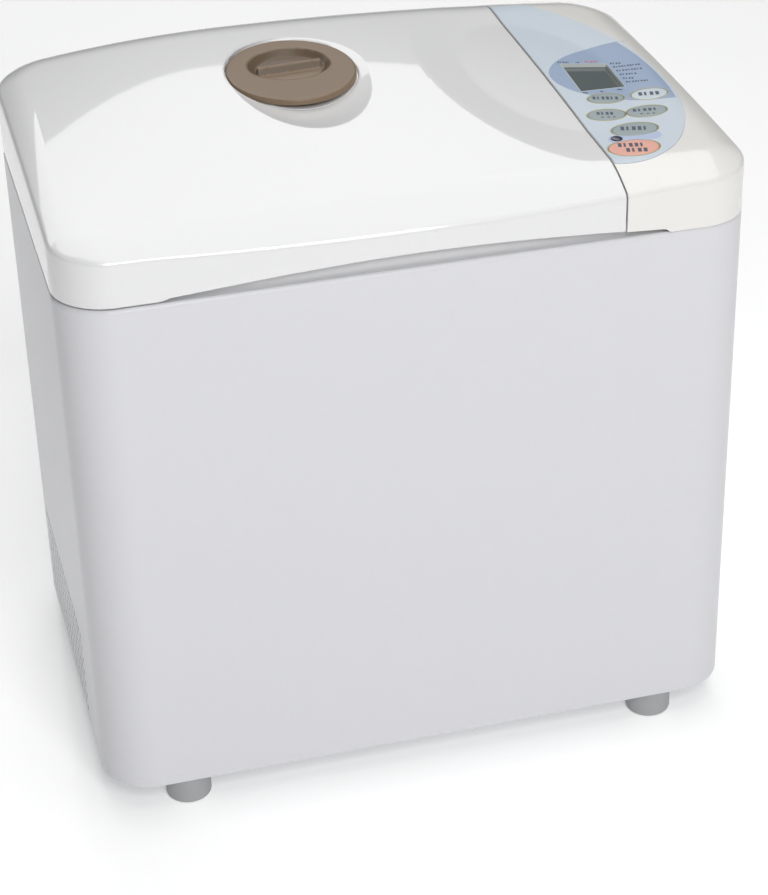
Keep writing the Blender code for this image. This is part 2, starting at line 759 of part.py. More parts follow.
def lid_gasket():
    def at_inset(inset, z):
        return ring(OVEN_X, 0, 244 - 2 * inset, 204 - 2 * inset, 34 - inset, z)

    profile = ((0, 305.4), (0, 307.0), (6, 307.0), (6, 305.4), (3, 304.6))
    rings = [at_inset(inset, z) for inset, z in profile]
    add("lid_gasket", loft(rings, closed=True), SILICONE, pivot=LID_PIVOT)


def dispenser_cup():
    def lip(x, y):
        return top_z(x, y) - max(scoop_depth(x, y), seat_depth(y)) - 0.4

    profile = ((0.6, 304.6), (0.6, lip), (2.3, lip), (2.3, 304.6))
    rings = [oval(COVER_X, COVER_Y, HOLE_A - inset, HOLE_B - inset, z) for inset, z in profile]
    add("dispenser_cup", loft(rings, closed=True), STEEL, pivot=LID_PIVOT)


def lid_hinges():
    """Arms on the lid turn on pins held by brackets on the top frame."""
    y, z = LID_PIVOT.y, LID_PIVOT.z
    for side, x in HINGES:
        arm = bmesh.new()
        loft([disc_x(y, z, 4.2, x + v) for v in (-5, 5)], bm=arm)
        arm_item = add("hinge_arm_" + side, arm, ZINC_STEEL, pivot=LID_PIVOT)
        cut(arm_item, box(x - 5, x + 5, 92, y, z - 4.6, z - 1.2), "UNION")
        cut(arm_item, rod((x - 9, y, z), (x + 9, y, z), 2.3))
        outline = [(-9, 304.5), (9, 304.5), (9, 319), (5.8, 319)]
        outline += [(5.8, 307.5), (-5.8, 307.5), (-5.8, 319), (-9, 319)]
        rings = [[(x + u, v, w) for u, w in outline] for v in (107.5, 116.2)]
        bracket = add("hinge_bracket_" + side, loft(rings), ZINC_STEEL, smooth_shading=False)
        cut(bracket, rod((x - 12, y, z), (x + 12, y, z), 2.3))
        add("hinge_pin_" + side, rod((x - 10.5, y, z), (x + 10.5, y, z), 2.0), STEEL)


def disc_x(y, z, r, x, sides=20):
    """A circle in the plane across the X axis."""
    return [
        (x, y + r * math.cos(2 * math.pi * i / sides), z + r * math.sin(2 * math.pi * i / sides))
        for i in range(sides)
    ]


def cover_pivot_z():
    return top_z(COVER_X, COVER_PIVOT_Y) + COVER_TOP - COVER_THICK / 2


def dispenser_cover():
    pivot = (COVER_X, COVER_PIVOT_Y, cover_pivot_z())

    def plane(x, y):
        """The cover is flat and tilted like the lid under it."""
        front, rear = top_z(COVER_X, COVER_Y - COVER_B), top_z(COVER_X, COVER_Y + COVER_B)
        return front + (rear - front) * (y - COVER_Y + COVER_B) / (2 * COVER_B) + COVER_TOP

    def sheet_ring(share, z_offset):
        points = []
        for i in range(40):
            a = 2 * math.pi * i / 40
            outer = (COVER_X + COVER_A * math.cos(a), COVER_Y + COVER_B * math.sin(a))
            inner = (FINGER_DISH_X + FINGER_DISH_A * math.cos(a), FINGER_DISH_Y + FINGER_DISH_B * math.sin(a))
            x, y = between(inner, outer, share)
            points.append((x, y, plane(x, y) + z_offset))
        return points

    def dish_ring(share, z_offset):
        points = []
        for i in range(40):
            a = 2 * math.pi * i / 40
            x = FINGER_DISH_X + FINGER_DISH_A * share * math.cos(a)
            y = FINGER_DISH_Y + FINGER_DISH_B * share * math.sin(a)
            points.append((x, y, plane(x, y) + z_offset))
        return points

    rings = [dish_ring(0.8, -FINGER_DISH_DEPTH), dish_ring(0.94, -1.2), sheet_ring(0.0, 0.0)]
    rings += [sheet_ring(0.96, 0.0), sheet_ring(1.0, -0.7), sheet_ring(1.0, -COVER_THICK)]
    rings += [sheet_ring(0.0, -COVER_THICK), dish_ring(0.8, -FINGER_DISH_DEPTH - 2)]
    cover = add("dispenser_cover", loft(rings), SMOKY_BROWN, pivot=pivot)
    outline = ring(FINGER_DISH_X, FINGER_DISH_Y, 38, 5, 2.4, 0, 3)
    grip = [[(x, y, plane(x, y) + v) for x, y, z in outline] for v in (-FINGER_DISH_DEPTH - 1, 0.2)]
    cut(cover, loft(grip), "UNION")
    x, y, z = pivot
    cut(cover, rod((x - 20, y, z), (x + 20, y, z), 1.3))
    add("cover_hinge_pin", rod((x - 15, y, z), (x + 15, y, z), 1.0, 12), STEEL)


def dispenser_flap():
    rings = [oval(COVER_X, COVER_Y, HOLE_A - 1, HOLE_B - 1, z) for z in (302.2, 304.0)]
    flap = add("dispenser_flap", loft(rings), ALUMINIUM, pivot=FLAP_PIVOT)
    x, y, z = FLAP_PIVOT
    knuckle = rod((x - 8, y, z), (x + 8, y, z), 2.4)
    cut(flap, knuckle, "UNION")
    arm = box(x - 8, x + 8, y - 11, y, 302.2, 304.0)
    cut(flap, arm, "UNION")
    bore = rod((x - 12, y, z), (x + 12, y, z), 1.3)
    cut(flap, bore)
    add("flap_pin", rod((x - 13, y, z), (x + 13, y, z), 1.0, 12), STEEL, pivot=LID_PIVOT)


def solenoid():
    y, z = COVER_Y, 321.0
    rings = [disc_x(y, z, 11, 40), disc_x(y, z, 11, 66), disc_x(y, z, 3.4, 66), disc_x(y, z, 3.4, 40)]
    add("solenoid_coil", loft(rings, closed=True), COPPER, pivot=LID_PIVOT)
    add("solenoid_plunger", rod((11, y, z), (58, y, z), 3.0), STEEL, pivot=(40, y, z))


# --- Oven and pan ---------------------------------------------------------------------------------
def oven_chamber():
    hole, wall, foot = 16.0, OVEN_WALL, 6.0
    rings = [disc(OVEN_X, 0, hole, OVEN_FLOOR), oven_ring(foot, OVEN_FLOOR), oven_ring(0, OVEN_FLOOR + foot)]
    rings += [oven_ring(0, OVEN_TOP - wall), oven_ring(-6, OVEN_TOP - wall), oven_ring(-6, OVEN_TOP)]
    rings += [oven_ring(wall, OVEN_TOP), oven_ring(wall, OVEN_FLOOR + foot + wall / 2)]
    rings += [oven_ring(foot + wall / 2, OVEN_FLOOR + wall), disc(OVEN_X, 0, hole, OVEN_FLOOR + wall)]
    chamber = add("oven_chamber", loft(rings, closed=True), STEEL)
    wall_x = OVEN_X + OVEN_W / 2
    holes = rod((wall_x - 8, 60, 150), (wall_x + 8, 60, 150), 4.4)
    for y in (-8, 8):
        rod((wall_x - 8, y, 84), (wall_x + 8, y, 84), 4.4, bm=holes)
    cut(chamber, holes)


def heater():
    """A tube heater round the foot of the chamber, its ends led out to the right."""
    half_w, half_d, r = OVEN_W / 2 - 9, OVEN_D / 2 - 9, 22.0
    wall_x = OVEN_X + OVEN_W / 2
    path = [(wall_x + 10, 8, 84), (OVEN_X + half_w + 3, 8, 84), (OVEN_X + half_w, 11, 84)]
    for quarter, (sx, sy) in enumerate(((1, 1), (-1, 1), (-1, -1), (1, -1))):
        for i in range(6):
            a = math.radians(90 * (quarter + i / 5))
            x = OVEN_X + sx * (half_w - r) + r * math.cos(a)
            path.append((x, sy * (half_d - r) + r * math.sin(a), 84))
    path += [(OVEN_X + half_w, -11, 84), (OVEN_X + half_w + 3, -8, 84), (wall_x + 10, -8, 84)]
    add("heater_element", pipe(path, 3.2), ZINC_STEEL)


def sensors():
    wall_x = OVEN_X + OVEN_W / 2
    profile = ((4, -14), (4, 0.4), (8, 0.4), (8, 4))
    rings = [disc_x(60, 150, r, wall_x + x) for r, x in profile]
    add("temperature_sensor", loft(rings), STEEL)


def bread_pan():
    rings = [disc(OVEN_X, 0, 9.2, PAN_FLOOR), pan_ring(6, PAN_FLOOR, 0), pan_ring(0, PAN_FLOOR + 8, 0)]
    rings += [pan_ring(0, PAN_TOP - 3, 1), pan_ring(-3, PAN_TOP - 2, 1), pan_ring(-3, PAN_TOP - 0.4, 1)]
    rings += [pan_ring(-1, PAN_TOP, 1), pan_ring(1.6, PAN_TOP - 1, 1), pan_ring(1.6, PAN_FLOOR + 9, 0)]
    rings += [pan_ring(7, PAN_FLOOR + 1.6, 0), disc(OVEN_X, 0, 9.2, PAN_FLOOR + 1.6)]
    pivot = (OVEN_X, 0, PAN_FLOOR)
    pan = add("bread_pan", loft(rings, closed=True), NONSTICK, pivot=pivot)
    ears = box(OVEN_X - 98, OVEN_X - 93.8, -8, 8, 240, 259.6)
    box(OVEN_X + 93.8, OVEN_X + 98, -8, 8, 240, 259.6, bm=ears)
    cut(pan, ears, "UNION")
    eyes = rod((OVEN_X - 104, 0, BAIL_Z), (OVEN_X - 95, 0, BAIL_Z), 2.9)
    rod((OVEN_X + 95, 0, BAIL_Z), (OVEN_X + 104, 0, BAIL_Z), 2.9, bm=eyes)
    cut(pan, eyes)
    profile = ((124, 64.0), (124, 87.6), (118, 87.6), (118, 64.0))
    rings = [ring(OVEN_X, 0, w, w - 18, 22, z) for w, z in profile]
    add("pan_base", loft(rings, closed=True), ALUMINIUM, pivot=pivot)
    add("pan_seal", tube(OVEN_X, 0, 8.9, 4.4, 84.0, 95.5), RUBBER, pivot=pivot)


def pan_handle():
    r = 8.0
    path = [(-95.8, 0, 0), (-101, 0, 0), (-102.6, -0.6, 0), (-BAIL_X, -2.2, 0)]
    for i in range(5):
        a = math.radians(180 + 90 * i / 4)
        path.append((-BAIL_X + r + r * math.cos(a), -BAIL_REACH + r + r * math.sin(a), 0))
    path += [(-x, y, z) for x, y, z in reversed(path)]
    moved = [(OVEN_X + x, y, BAIL_Z + z) for x, y, z in path]
    add("pan_handle", pipe(moved, BAIL_R), STEEL, pivot=(OVEN_X, 0, BAIL_Z))


def teardrop(length, r, tip, z):
    """The kneading blade's plan: a round hub with a fin towards +X."""
    points = []
    lean = math.asin((r - tip) / length)
    for i in range(9):
        a = math.pi / 2 - lean + (math.pi + 2 * lean) * i / 8
        points.append((OVEN_X + r * math.cos(a), r * math.sin(a), z))
    for i in range(5):
        a = -math.pi / 2 + lean + (math.pi - 2 * lean) * i / 4
        points.append((OVEN_X + length + tip * math.cos(a), tip * math.sin(a), z))
    return points


def pan_spindle():
    pivot = (OVEN_X, 0, PAN_FLOOR)
    add("pan_shaft", rod((OVEN_X, 0, 77.0), (OVEN_X, 0, 118.0), 4.0), STEEL, pivot=pivot)
    wing = box(OVEN_X - 12, OVEN_X + 12, -4.3, 4.3, 68.2, 76.6)
    add("pan_coupling", wing, ALUMINIUM, pivot=pivot, smooth_shading=False)
    profile = ((46, 3, 96.2), (46, 3, 106), (30, 3, 122), (12, 8, 126))
    rings = [teardrop(length, 9, tip, z) for length, tip, z in profile]
    blade = add("kneading_blade", loft(rings), NONSTICK, pivot=pivot)
    cut(blade, rod((OVEN_X, 0, 80), (OVEN_X, 0, 119), 4.4))


# --- Drive ---------------------------------------------------------------------------------------
def chassis():
    rings = [ring(36, 0, 272, 124, 10, z) for z in (CHASSIS_Z, CHASSIS_Z + 3)]
    plate = add("drive_chassis", loft(rings), ZINC_STEEL)
    holes = rod((OVEN_X, 0, 40), (OVEN_X, 0, 60), 14.6, 24)
    rod((MOTOR_X, 0, 40), (MOTOR_X, 0, 60), 12, 24, bm=holes)
    cut(plate, holes)
    posts = bmesh.new()
    for x, y in ((-92, -54), (-92, 54), (164, -54), (164, 54)):
        rod((x, y, 14.6), (x, y, CHASSIS_Z + 1), 5.0, 12, bm=posts)
    cut(plate, posts, "UNION")


def bearing():
    profile = [(14, 40), (14, 53.4), (24, 53.4), (24, 56.4), (14, 56.4), (14, 60.6), (9.2, 60.6), (9.2, 40)]
    rings = [disc(OVEN_X, 0, r, z) for r, z in profile]
    add("bearing_housing", loft(rings, closed=True), ALUMINIUM)
    add("bushing_upper", tube(OVEN_X, 0, 8.9, 5.0, 53.0, 60.0), BRONZE)
    add("bushing_lower", tube(OVEN_X, 0, 8.9, 5.0, 41.0, 48.0), BRONZE)


def drive_line():
    pivot = (OVEN_X, 0, CHASSIS_Z)
    add("drive_shaft", rod((OVEN_X, 0, 22), (OVEN_X, 0, 65), 4.7), STEEL, pivot=pivot)
    z0, z1 = BELT_Z
    groove = PULLEY_R - 3
    profile = [(5.0, z0 - 3), (PULLEY_R, z0 - 3), (PULLEY_R, z0 - 1), (groove, z0)]
    profile += [(groove, z1), (PULLEY_R, z1 + 1), (PULLEY_R, z1 + 3), (5.0, z1 + 3)]
    rings = [disc(OVEN_X, 0, r, z, 8) for r, z in profile]
    add("drive_pulley", loft(rings, closed=True), BLACK_PLASTIC, pivot=pivot)
    coupling = add("drive_coupling", rod((OVEN_X, 0, 61), (OVEN_X, 0, 77), 14, 24), ALUMINIUM, pivot=pivot)
    slot = box(OVEN_X - 20, OVEN_X + 20, -4.7, 4.7, 67.9, 80)
    cut(coupling, slot)
    cut(coupling, rod((OVEN_X, 0, 55), (OVEN_X, 0, 65.4), 5.0))


def motor():
    pivot = (MOTOR_X, 0, CHASSIS_Z)
    rings = [ring(MOTOR_X, 0, w, w, 10, z) for w, z in ((66, 53.3), (72, 57), (72, 108), (66, 112))]
    stator = add("motor_stator", loft(rings), ZINC_STEEL)
    cut(stator, rod((MOTOR_X, 0, 50), (MOTOR_X, 0, 104), 4.6))
    add("motor_shaft", rod((MOTOR_X, 0, 22), (MOTOR_X, 0, 103), 4.0), STEEL, pivot=pivot)
    z0, z1 = BELT_Z
    profile = [(4.3, z0 - 3), (11, z0 - 3), (11, z0 - 1), (MOTOR_PULLEY_R - 2, z0)]
    profile += [(MOTOR_PULLEY_R - 2, z1), (11, z1 + 1), (11, z1 + 3), (4.3, z1 + 3)]
    rings = [disc(MOTOR_X, 0, r, z) for r, z in profile]
    add("motor_pulley", loft(rings, closed=True), BLACK_PLASTIC, pivot=pivot)
    add("motor_capacitor", rod((MOTOR_X, -68, 53.4), (MOTOR_X, -68, 98), 15, 24), ALUMINIUM)


def drive_belt():
    """A flat loop round both pulleys."""
    big, small = PULLEY_R - 3 + GAP, MOTOR_PULLEY_R - 2 + GAP
    span = MOTOR_X - OVEN_X
    lean = math.asin((big - small) / span)

    def loop(extra, z):
        points = []
        for i in range(25):
            a = math.pi / 2 - lean + (math.pi + 2 * lean) * i / 24
            r = big + extra
            points.append((OVEN_X + r * math.cos(a), r * math.sin(a), z))
        for i in range(13):
            a = -math.pi / 2 + lean + (math.pi - 2 * lean) * i / 12
            r = small + extra
            points.append((MOTOR_X + r * math.cos(a), r * math.sin(a), z))
        return points

    z0, z1 = BELT_Z[0] + 0.5, BELT_Z[1] - 0.5
    rings = [loop(0.15, z0), loop(2.4, z0), loop(2.4, z1), loop(0.15, z1)]
    add("drive_belt", loft(rings, closed=True), RUBBER)


# --- Electrics ------------------------------------------------------------------------------------
def electrics():
    add("power_board", box(92, 170, 90, 91.6, 60, 210), BOARD_GREEN, smooth_shading=False)
    add("transformer", loft([ring(131, 68, 44, 38, 3, z) for z in (130, 168)]), ZINC_STEEL)
    gland = box(GLAND_X - 11, GLAND_X + 11, DEPTH / 2 - 12, DEPTH / 2 - 0.2, GLAND_Z - 7, GLAND_Z + 7)
    socket = add("cord_gland", gland, BLACK_PLASTIC, smooth_shading=False)
    cut(socket, rod((GLAND_X, DEPTH / 2 - 9, GLAND_Z), (GLAND_X, DEPTH / 2 + 5, GLAND_Z), 3.5))


def main():
    for item in list(bpy.data.objects):
        bpy.data.objects.remove(item, do_unlink=True)
    outer_case()
    base_plate()
    feet()
    top_frame()
    control_housing()
    panel_label()
    screen()
    timer_lamp()
    buttons()
    control_board()
    lid_cover()
    lid_inner_plate()
    lid_gasket()
    dispenser_cup()
    lid_hinges()
    dispenser_cover()
    dispenser_flap()
    solenoid()
    oven_chamber()
    heater()
    sensors()
    bread_pan()
    pan_handle()
    pan_spindle()
    chassis()
    bearing()
    drive_line()
    motor()
    drive_belt()
    electrics()


main()
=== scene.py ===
"""Looks of the bread machine: finely built shells, panel graphics, materials, light and camera.

Sizes are in millimetres in the machine's own frame and become metres where a mesh is made.
"""

import math

import bmesh
import bpy
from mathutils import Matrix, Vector


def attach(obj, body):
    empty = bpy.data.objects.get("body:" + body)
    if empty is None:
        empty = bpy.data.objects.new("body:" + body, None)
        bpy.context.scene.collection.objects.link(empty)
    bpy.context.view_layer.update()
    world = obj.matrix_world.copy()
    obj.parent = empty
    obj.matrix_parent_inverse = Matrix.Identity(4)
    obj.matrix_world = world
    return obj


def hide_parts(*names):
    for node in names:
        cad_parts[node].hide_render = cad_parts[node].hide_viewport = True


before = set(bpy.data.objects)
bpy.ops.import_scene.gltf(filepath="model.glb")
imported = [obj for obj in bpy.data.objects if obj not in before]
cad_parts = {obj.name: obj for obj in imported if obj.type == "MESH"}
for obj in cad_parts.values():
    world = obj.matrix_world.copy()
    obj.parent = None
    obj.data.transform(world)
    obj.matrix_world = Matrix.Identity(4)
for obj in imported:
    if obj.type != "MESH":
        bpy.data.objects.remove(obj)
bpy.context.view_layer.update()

MM = 0.001
GAP = 0.3

# --- Sizes shared with the frame ---
WIDTH, DEPTH, CORNER = 360.0, 243.0, 29.0
FOOT_HEIGHT, FOOT_DROP, FOOT_X, FOOT_Y, FOOT_R = 12.7, 2.9, 134.7, 108.5, 12.6
CASE_TOP, CASE_WALL = 302.7, 0.9
SEAM_X, SEAM_GAP, SHELL_WALL = 108.0, 1.0, 2.5
CREST_X, CREST_Z = -50.0, 352.5
CREST_RADIUS_LEFT, CREST_RADIUS_RIGHT = 850.0, 2400.0
FRONT_Z, FRONT_Y, REAR_Y, BULGE = 335.6, -95.0, 104.0, 1.8
CREASE_Z, CREASE_RISE, CREASE_HALF = 323.3, 6.3, 157.0
FRONT_SHOULDER, SIDE_SHOULDER, REAR_SHOULDER = 26.0, 16.0, 17.0
SIDE_DROP, REAR_DROP = 5.0, 3.5
PANEL_X, PANEL_Y, PANEL_A, PANEL_B, PANEL_TURN = 108.0, 11.0, 60.9, 113.0, math.radians(7.7)
DISH_DEPTH, DISH_BAND = 1.8, 0.35
ARCH_LEFT, ARCH_RIGHT, ARCH_HEIGHT, ARCH_STEP, LID_CLEAR = -129.0, 131.0, 8.0, 1.1, 1.2
COVER_X, COVER_Y, COVER_A, COVER_B = -24.6, 45.2, 35.4, 38.4
COVER_TOP, COVER_THICK = 0.4, 3.4
SEAT_GAP, SEAT_DEPTH, SEAT_TROUGH, SEAT_RELIEF = 0.8, 3.6, 2.6, 1.9
SCOOP_X, SCOOP_Y, SCOOP_A, SCOOP_FRONT, SCOOP_REAR, SCOOP_DEPTH = -22.0, 45.5, 38.6, 72.5, 41.5, 7.0
HOLE_A, HOLE_B = 31.0, 33.5
FINGER_DISH_X, FINGER_DISH_Y, FINGER_DISH_A, FINGER_DISH_B, FINGER_DISH_DEPTH = -24.0, 53.0, 24.0, 21.0, 4.0
GRIP_HALF, GRIP_TURN = 18.5, math.radians(3.9)
REAR_SKIRT_Z = 311.2
VENT_Y, VENT_Z, VENT_COLUMNS, VENT_ROWS, VENT_ACROSS, VENT_UP = -52.0, 23.0, 19, 7, 7.4, 8.2
INLET_X, INLET_Z, INLET_HALF_W, INLET_HALF_H = 140.0, 42.0, 11.4, 7.4
FRAME_LOW, FRAME_BAND, FRAME_LEDGE, FRAME_RIM, FRAME_REAR_DROP = 301.0, 301.9, 304.2, 311.0, 6.8
HINGES = (-120.0, 60.0)
NOTCH_HALF, NOTCH_TOP = 10.5, 321.0
OVEN_X, OVEN_W, OVEN_D, OVEN_R, OVEN_WALL = -36.0, 224.0, 190.0, 30.0, 0.9
OVEN_FLOOR, OVEN_TOP, OVEN_FOOT = 62.0, 301.6, 6.0
PAN_W, PAN_D, PAN_R, PAN_WALL = 190.0, 146.0, 32.0, 1.6
PAN_FLOOR, PAN_TOP, PAN_FOOT, PAN_TAPER = 88.0, 262.0, 6.0, 14.0
BAIL_X, BAIL_Z, BAIL_REACH, BAIL_R = 103.0, 252.0, 84.0, 2.5
PLATE_LOW, PLATE_HIGH, PLATE_PRESSED = 307.3, 309.8, 1.3
FLAP_PIVOT_Y, FLAP_PIVOT_Z = 83.0, 304.2
EDGE_R = 2.0
LABEL_REAR, LABEL_TOP = 111.0, 0.2
FIELD_X, FIELD_Y, FIELD_A, FIELD_FRONT, FIELD_REAR = 175.0, 5.0, 64.5, 42.0, 39.5
SCREEN = ((120.3, -15.4), (146.1, -14.7), (146.8, 17.5), (121.2, 22.3))
SCREEN_SINK = 1.7
PILL_X, PILL_Y, PILL_HALF, PILL_R = 128.9, -74.8, 9.3, 5.0
LAMP_X, LAMP_Y, LAMP_R = 119.3, -73.9, 2.85
KEY_TURN, KEY_RISE, KEY_PLAY, KEY_FOOT = -2.0, 0.55, 0.35, 321.4
PRINT, PRINT_SUNK = 0.04, 0.1
BUTTONS = {
    "select_button": (130.6, -26.3, 19.4, 11.1),
    "menu_button": (154.7, -27.4, 19.7, 12.8),
    "size_button": (124.1, -45.4, 20.2, 12.1),
    "crust_button": (145.9, -47.1, 21.1, 12.6),
    "timer_button": (132.2, -65.9, 24.2, 15.1),
    "start_stop_button": (124.2, -86.3, 26.5, 17.6),
}
KEY_LOOKS = {"menu_button": "menu", "start_stop_button": "start"}


# --- Surface functions ---
def clamp(value, low=0.0, high=1.0):
    return max(low, min(high, value))


def smooth(value):
    t = clamp(value)
    return t * t * (3 - 2 * t)


def edge_distance(x, y):
    """Distance in from the body's outline, and the outward direction there."""
    dx = abs(x) - (WIDTH / 2 - CORNER)
    dy = abs(y) - (DEPTH / 2 - CORNER)
    if dx > 0 and dy > 0:
        reach = math.hypot(dx, dy)
        return CORNER - reach, math.copysign(dx / reach, x), math.copysign(dy / reach, y)
    if dx > dy:
        return CORNER - dx, math.copysign(1.0, x), 0.0
    return CORNER - dy, 0.0, math.copysign(1.0, y)


def crown_z(x, y):
    radius = CREST_RADIUS_LEFT if x < CREST_X else CREST_RADIUS_RIGHT
    rear = CREST_Z - (x - CREST_X) ** 2 / (2 * radius)
    t = (y - FRONT_Y) / (REAR_Y - FRONT_Y)
    return FRONT_Z + (rear - FRONT_Z) * t + BULGE * 4 * t * (1 - t)


def dish_rho(x, y):
    """How far out a point is in the panel oval: 1 on its border."""
    c, s = math.cos(PANEL_TURN), math.sin(PANEL_TURN)
    u = (x - PANEL_X) * c + (y - PANEL_Y) * s
    v = (y - PANEL_Y) * c - (x - PANEL_X) * s
    return math.hypot(u / PANEL_A, v / PANEL_B)


def dish_depth(x, y):
    return DISH_DEPTH * clamp((1 - dish_rho(x, y)) / DISH_BAND)


def top_z(x, y):
    """The finished top surface of the lid and the control housing."""
    inset, nx, ny = edge_distance(x, y)
    crease = CREASE_Z + CREASE_RISE * (x / CREASE_HALF) ** 2
    front_drop = max(crown_z(x, -DEPTH / 2) - crease, SIDE_DROP)
    front, rear, side = max(-ny, 0) ** 2, max(ny, 0) ** 2, nx * nx
    drop = front * front_drop + rear * REAR_DROP + side * SIDE_DROP
    width = front * FRONT_SHOULDER + rear * REAR_SHOULDER + side * SIDE_SHOULDER
    fall = drop * (1 - clamp(inset / max(width, 1.0))) ** 1.7
    return crown_z(x, y) - fall - dish_depth(x, y)


def rounded_top_z(x, y):
    """The top surface with its outer edge rolled over into the skirt."""
    inset = clamp(edge_distance(x, y)[0], 0, EDGE_R)
    return top_z(x, y) - EDGE_R + math.sqrt(EDGE_R ** 2 - (EDGE_R - inset) ** 2)


def over_top(rise):
    """A height over the finished top surface."""
    return lambda x, y: top_z(x, y) + rise


def scoop_half(y):
    return SCOOP_FRONT if y < SCOOP_Y else SCOOP_REAR


def scoop_depth(x, y):
    rho2 = ((x - SCOOP_X) / SCOOP_A) ** 2 + ((y - SCOOP_Y) / scoop_half(y)) ** 2
    return SCOOP_DEPTH * max(1 - rho2, 0)


def seat_depth(y):
    return SEAT_DEPTH + SEAT_TROUGH * smooth((y - 66) / 8)


def scoop_z(under):
    return lambda x, y: top_z(x, y) - scoop_depth(x, y) - under


def ledge_z(x, y):
    """The ledge that the dispenser cover lies on."""
    return top_z(x, y) - max(scoop_depth(x, y), seat_depth(y))


def seat_point(point, inward=0.0):
    """The wall of the cover's seat, wider behind the hinge so that the cover can swing."""
    x, y = polar(point, COVER_A + SEAT_GAP - inward, COVER_B + SEAT_GAP - inward)
    reach = SEAT_GAP - inward + SEAT_RELIEF * smooth((y - 66) / 8)
    return polar(point, COVER_A + reach, COVER_B + reach)


def arch_z(x):
    """Lower edge of the lid and housing over the finger recess."""
    t = clamp((x - ARCH_LEFT) / (ARCH_RIGHT - ARCH_LEFT))
    step = ARCH_STEP * smooth((x - ARCH_LEFT) / 2) * smooth((ARCH_RIGHT - x) / 2)
    return CASE_TOP + LID_CLEAR + step + (ARCH_HEIGHT - LID_CLEAR - ARCH_STEP) * math.sin(math.pi * t) ** 1.1


def skirt_z(x, y):
    if y < -DEPTH / 2 + 3:
        return arch_z(x)
    if y > DEPTH / 2 - 0.1 and min(abs(x - hinge) for hinge in HINGES) < NOTCH_HALF + 0.05:
        return NOTCH_TOP
    level = CASE_TOP + LID_CLEAR
    return level + (REAR_SKIRT_Z - level) * smooth((y - 112.5) / 4)


def seam_wall_z(y):
    return 312.0 if y < -108 else 305.2


# --- Mesh helpers ---
def raised(row, z):
    """The points of a row of (x, y), at one height or on a surface."""
    return [(x, y, z(x, y) if callable(z) else z) for x, y in row]


def ring(cx, cy, w, d, r, z, steps=16):
    points = []
    for quarter, (sx, sy) in enumerate(((1, 1), (-1, 1), (-1, -1), (1, -1))):
        for i in range(steps + 1):
            a = math.radians(90 * (quarter + i / steps))
            x = cx + sx * (w / 2 - r) + r * math.cos(a)
            y = cy + sy * (d / 2 - r) + r * math.sin(a)
            points.append((x, y))
    return raised(points, z)


def disc(cx, cy, r, z, steps=12):
    return ring(cx, cy, 2 * r, 2 * r, r, z, steps)


def oval(cx, cy, a, b, z, count=96, turn=0.0):
    points = []
    c, s = math.cos(math.radians(turn)), math.sin(math.radians(turn))
    for i in range(count):
        t = 2 * math.pi * i / count
        u, v = a * math.cos(t), b * math.sin(t)
        points.append((cx + u * c - v * s, cy + u * s + v * c))
    return raised(points, z)


def body_ring(inset, z, steps=16):
    return ring(0, 0, WIDTH - 2 * inset, DEPTH - 2 * inset, CORNER - inset, z, steps)


def bridge(bm, first, second):
    """Joins two closed rows of vertices with faces."""
    for i in range(len(first)):
        j = (i + 1) % len(first)
        bm.faces.new((first[i], first[j], second[j], second[i]))


def loft(rings, closed=False, bm=None):
    """A closed solid through the rings: capped at both ends, or joined end to end."""
    bm = bm or bmesh.new()
    rows = [[bm.verts.new(Vector(p) * MM) for p in points] for points in rings]
    pairs = list(zip(rows, rows[1:]))
    if closed:
        pairs.append((rows[-1], rows[0]))
    for low, high in pairs:
        bridge(bm, low, high)
    if not closed:
        bm.faces.new(rows[0])
        bm.faces.new(rows[-1])
    return bm


def box(x0, x1, y0, y1, z0, z1, bm=None):
    corners = ((x0, y0), (x1, y0), (x1, y1), (x0, y1))
    return loft([[(x, y, z) for x, y in corners] for z in (z0, z1)], bm=bm)


def slab(rows, low, high):
    """A solid between two surfaces over a grid of (x, y) points."""
    bm = bmesh.new()
    bridge(bm, rim_of(sheet(bm, rows, low)), rim_of(sheet(bm, rows, high)))
    return bm


def sheet(bm, rows, surface):
    """Adds the faces of one surface over a grid of (x, y) points."""
    grid = [[bm.verts.new(Vector(p) * MM) for p in raised(row, surface)] for row in rows]
    for row, following in zip(grid, grid[1:]):
        for i in range(len(row) - 1):
            bm.faces.new((row[i], row[i + 1], following[i + 1], following[i]))
    return grid


def rim_of(grid):
    """The vertices round the outside of a grid, once each."""
    border = list(grid[0])
    border += [row[-1] for row in grid[1:]]
    border += list(reversed(grid[-1]))[1:]
    border += [row[0] for row in reversed(grid)][1:-1]
    return border


def lifted_mesh(name, bm):
    """Turns a solid into a mesh, standing on its feet."""
    bmesh.ops.remove_doubles(bm, verts=bm.verts, dist=0.000002)
    bmesh.ops.recalc_face_normals(bm, faces=bm.faces)
    bmesh.ops.translate(bm, verts=bm.verts, vec=(0, 0, FOOT_DROP * MM))
    mesh = bpy.data.meshes.new(name)
    bm.to_mesh(mesh)
    bm.free()
    return mesh


def soften(mesh, angle):
    mesh.shade_smooth()
    mesh.set_sharp_from_angle(angle=math.radians(angle))


def add(name, data):
    """Puts a new object into the scene."""
    item = bpy.data.objects.new(name, data)
    bpy.context.scene.collection.objects.link(item)
    return item


def piece(name, bm, look, body, replaced=(), angle=35):
    """Makes one piece, gives it its material and lets it ride on a body."""
    mesh = lifted_mesh(name, bm)
    soften(mesh, angle)
    mesh.materials.append(look)
    item = add(name, mesh)
    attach(item, body)
    if replaced:
        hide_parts(*replaced)
    return item


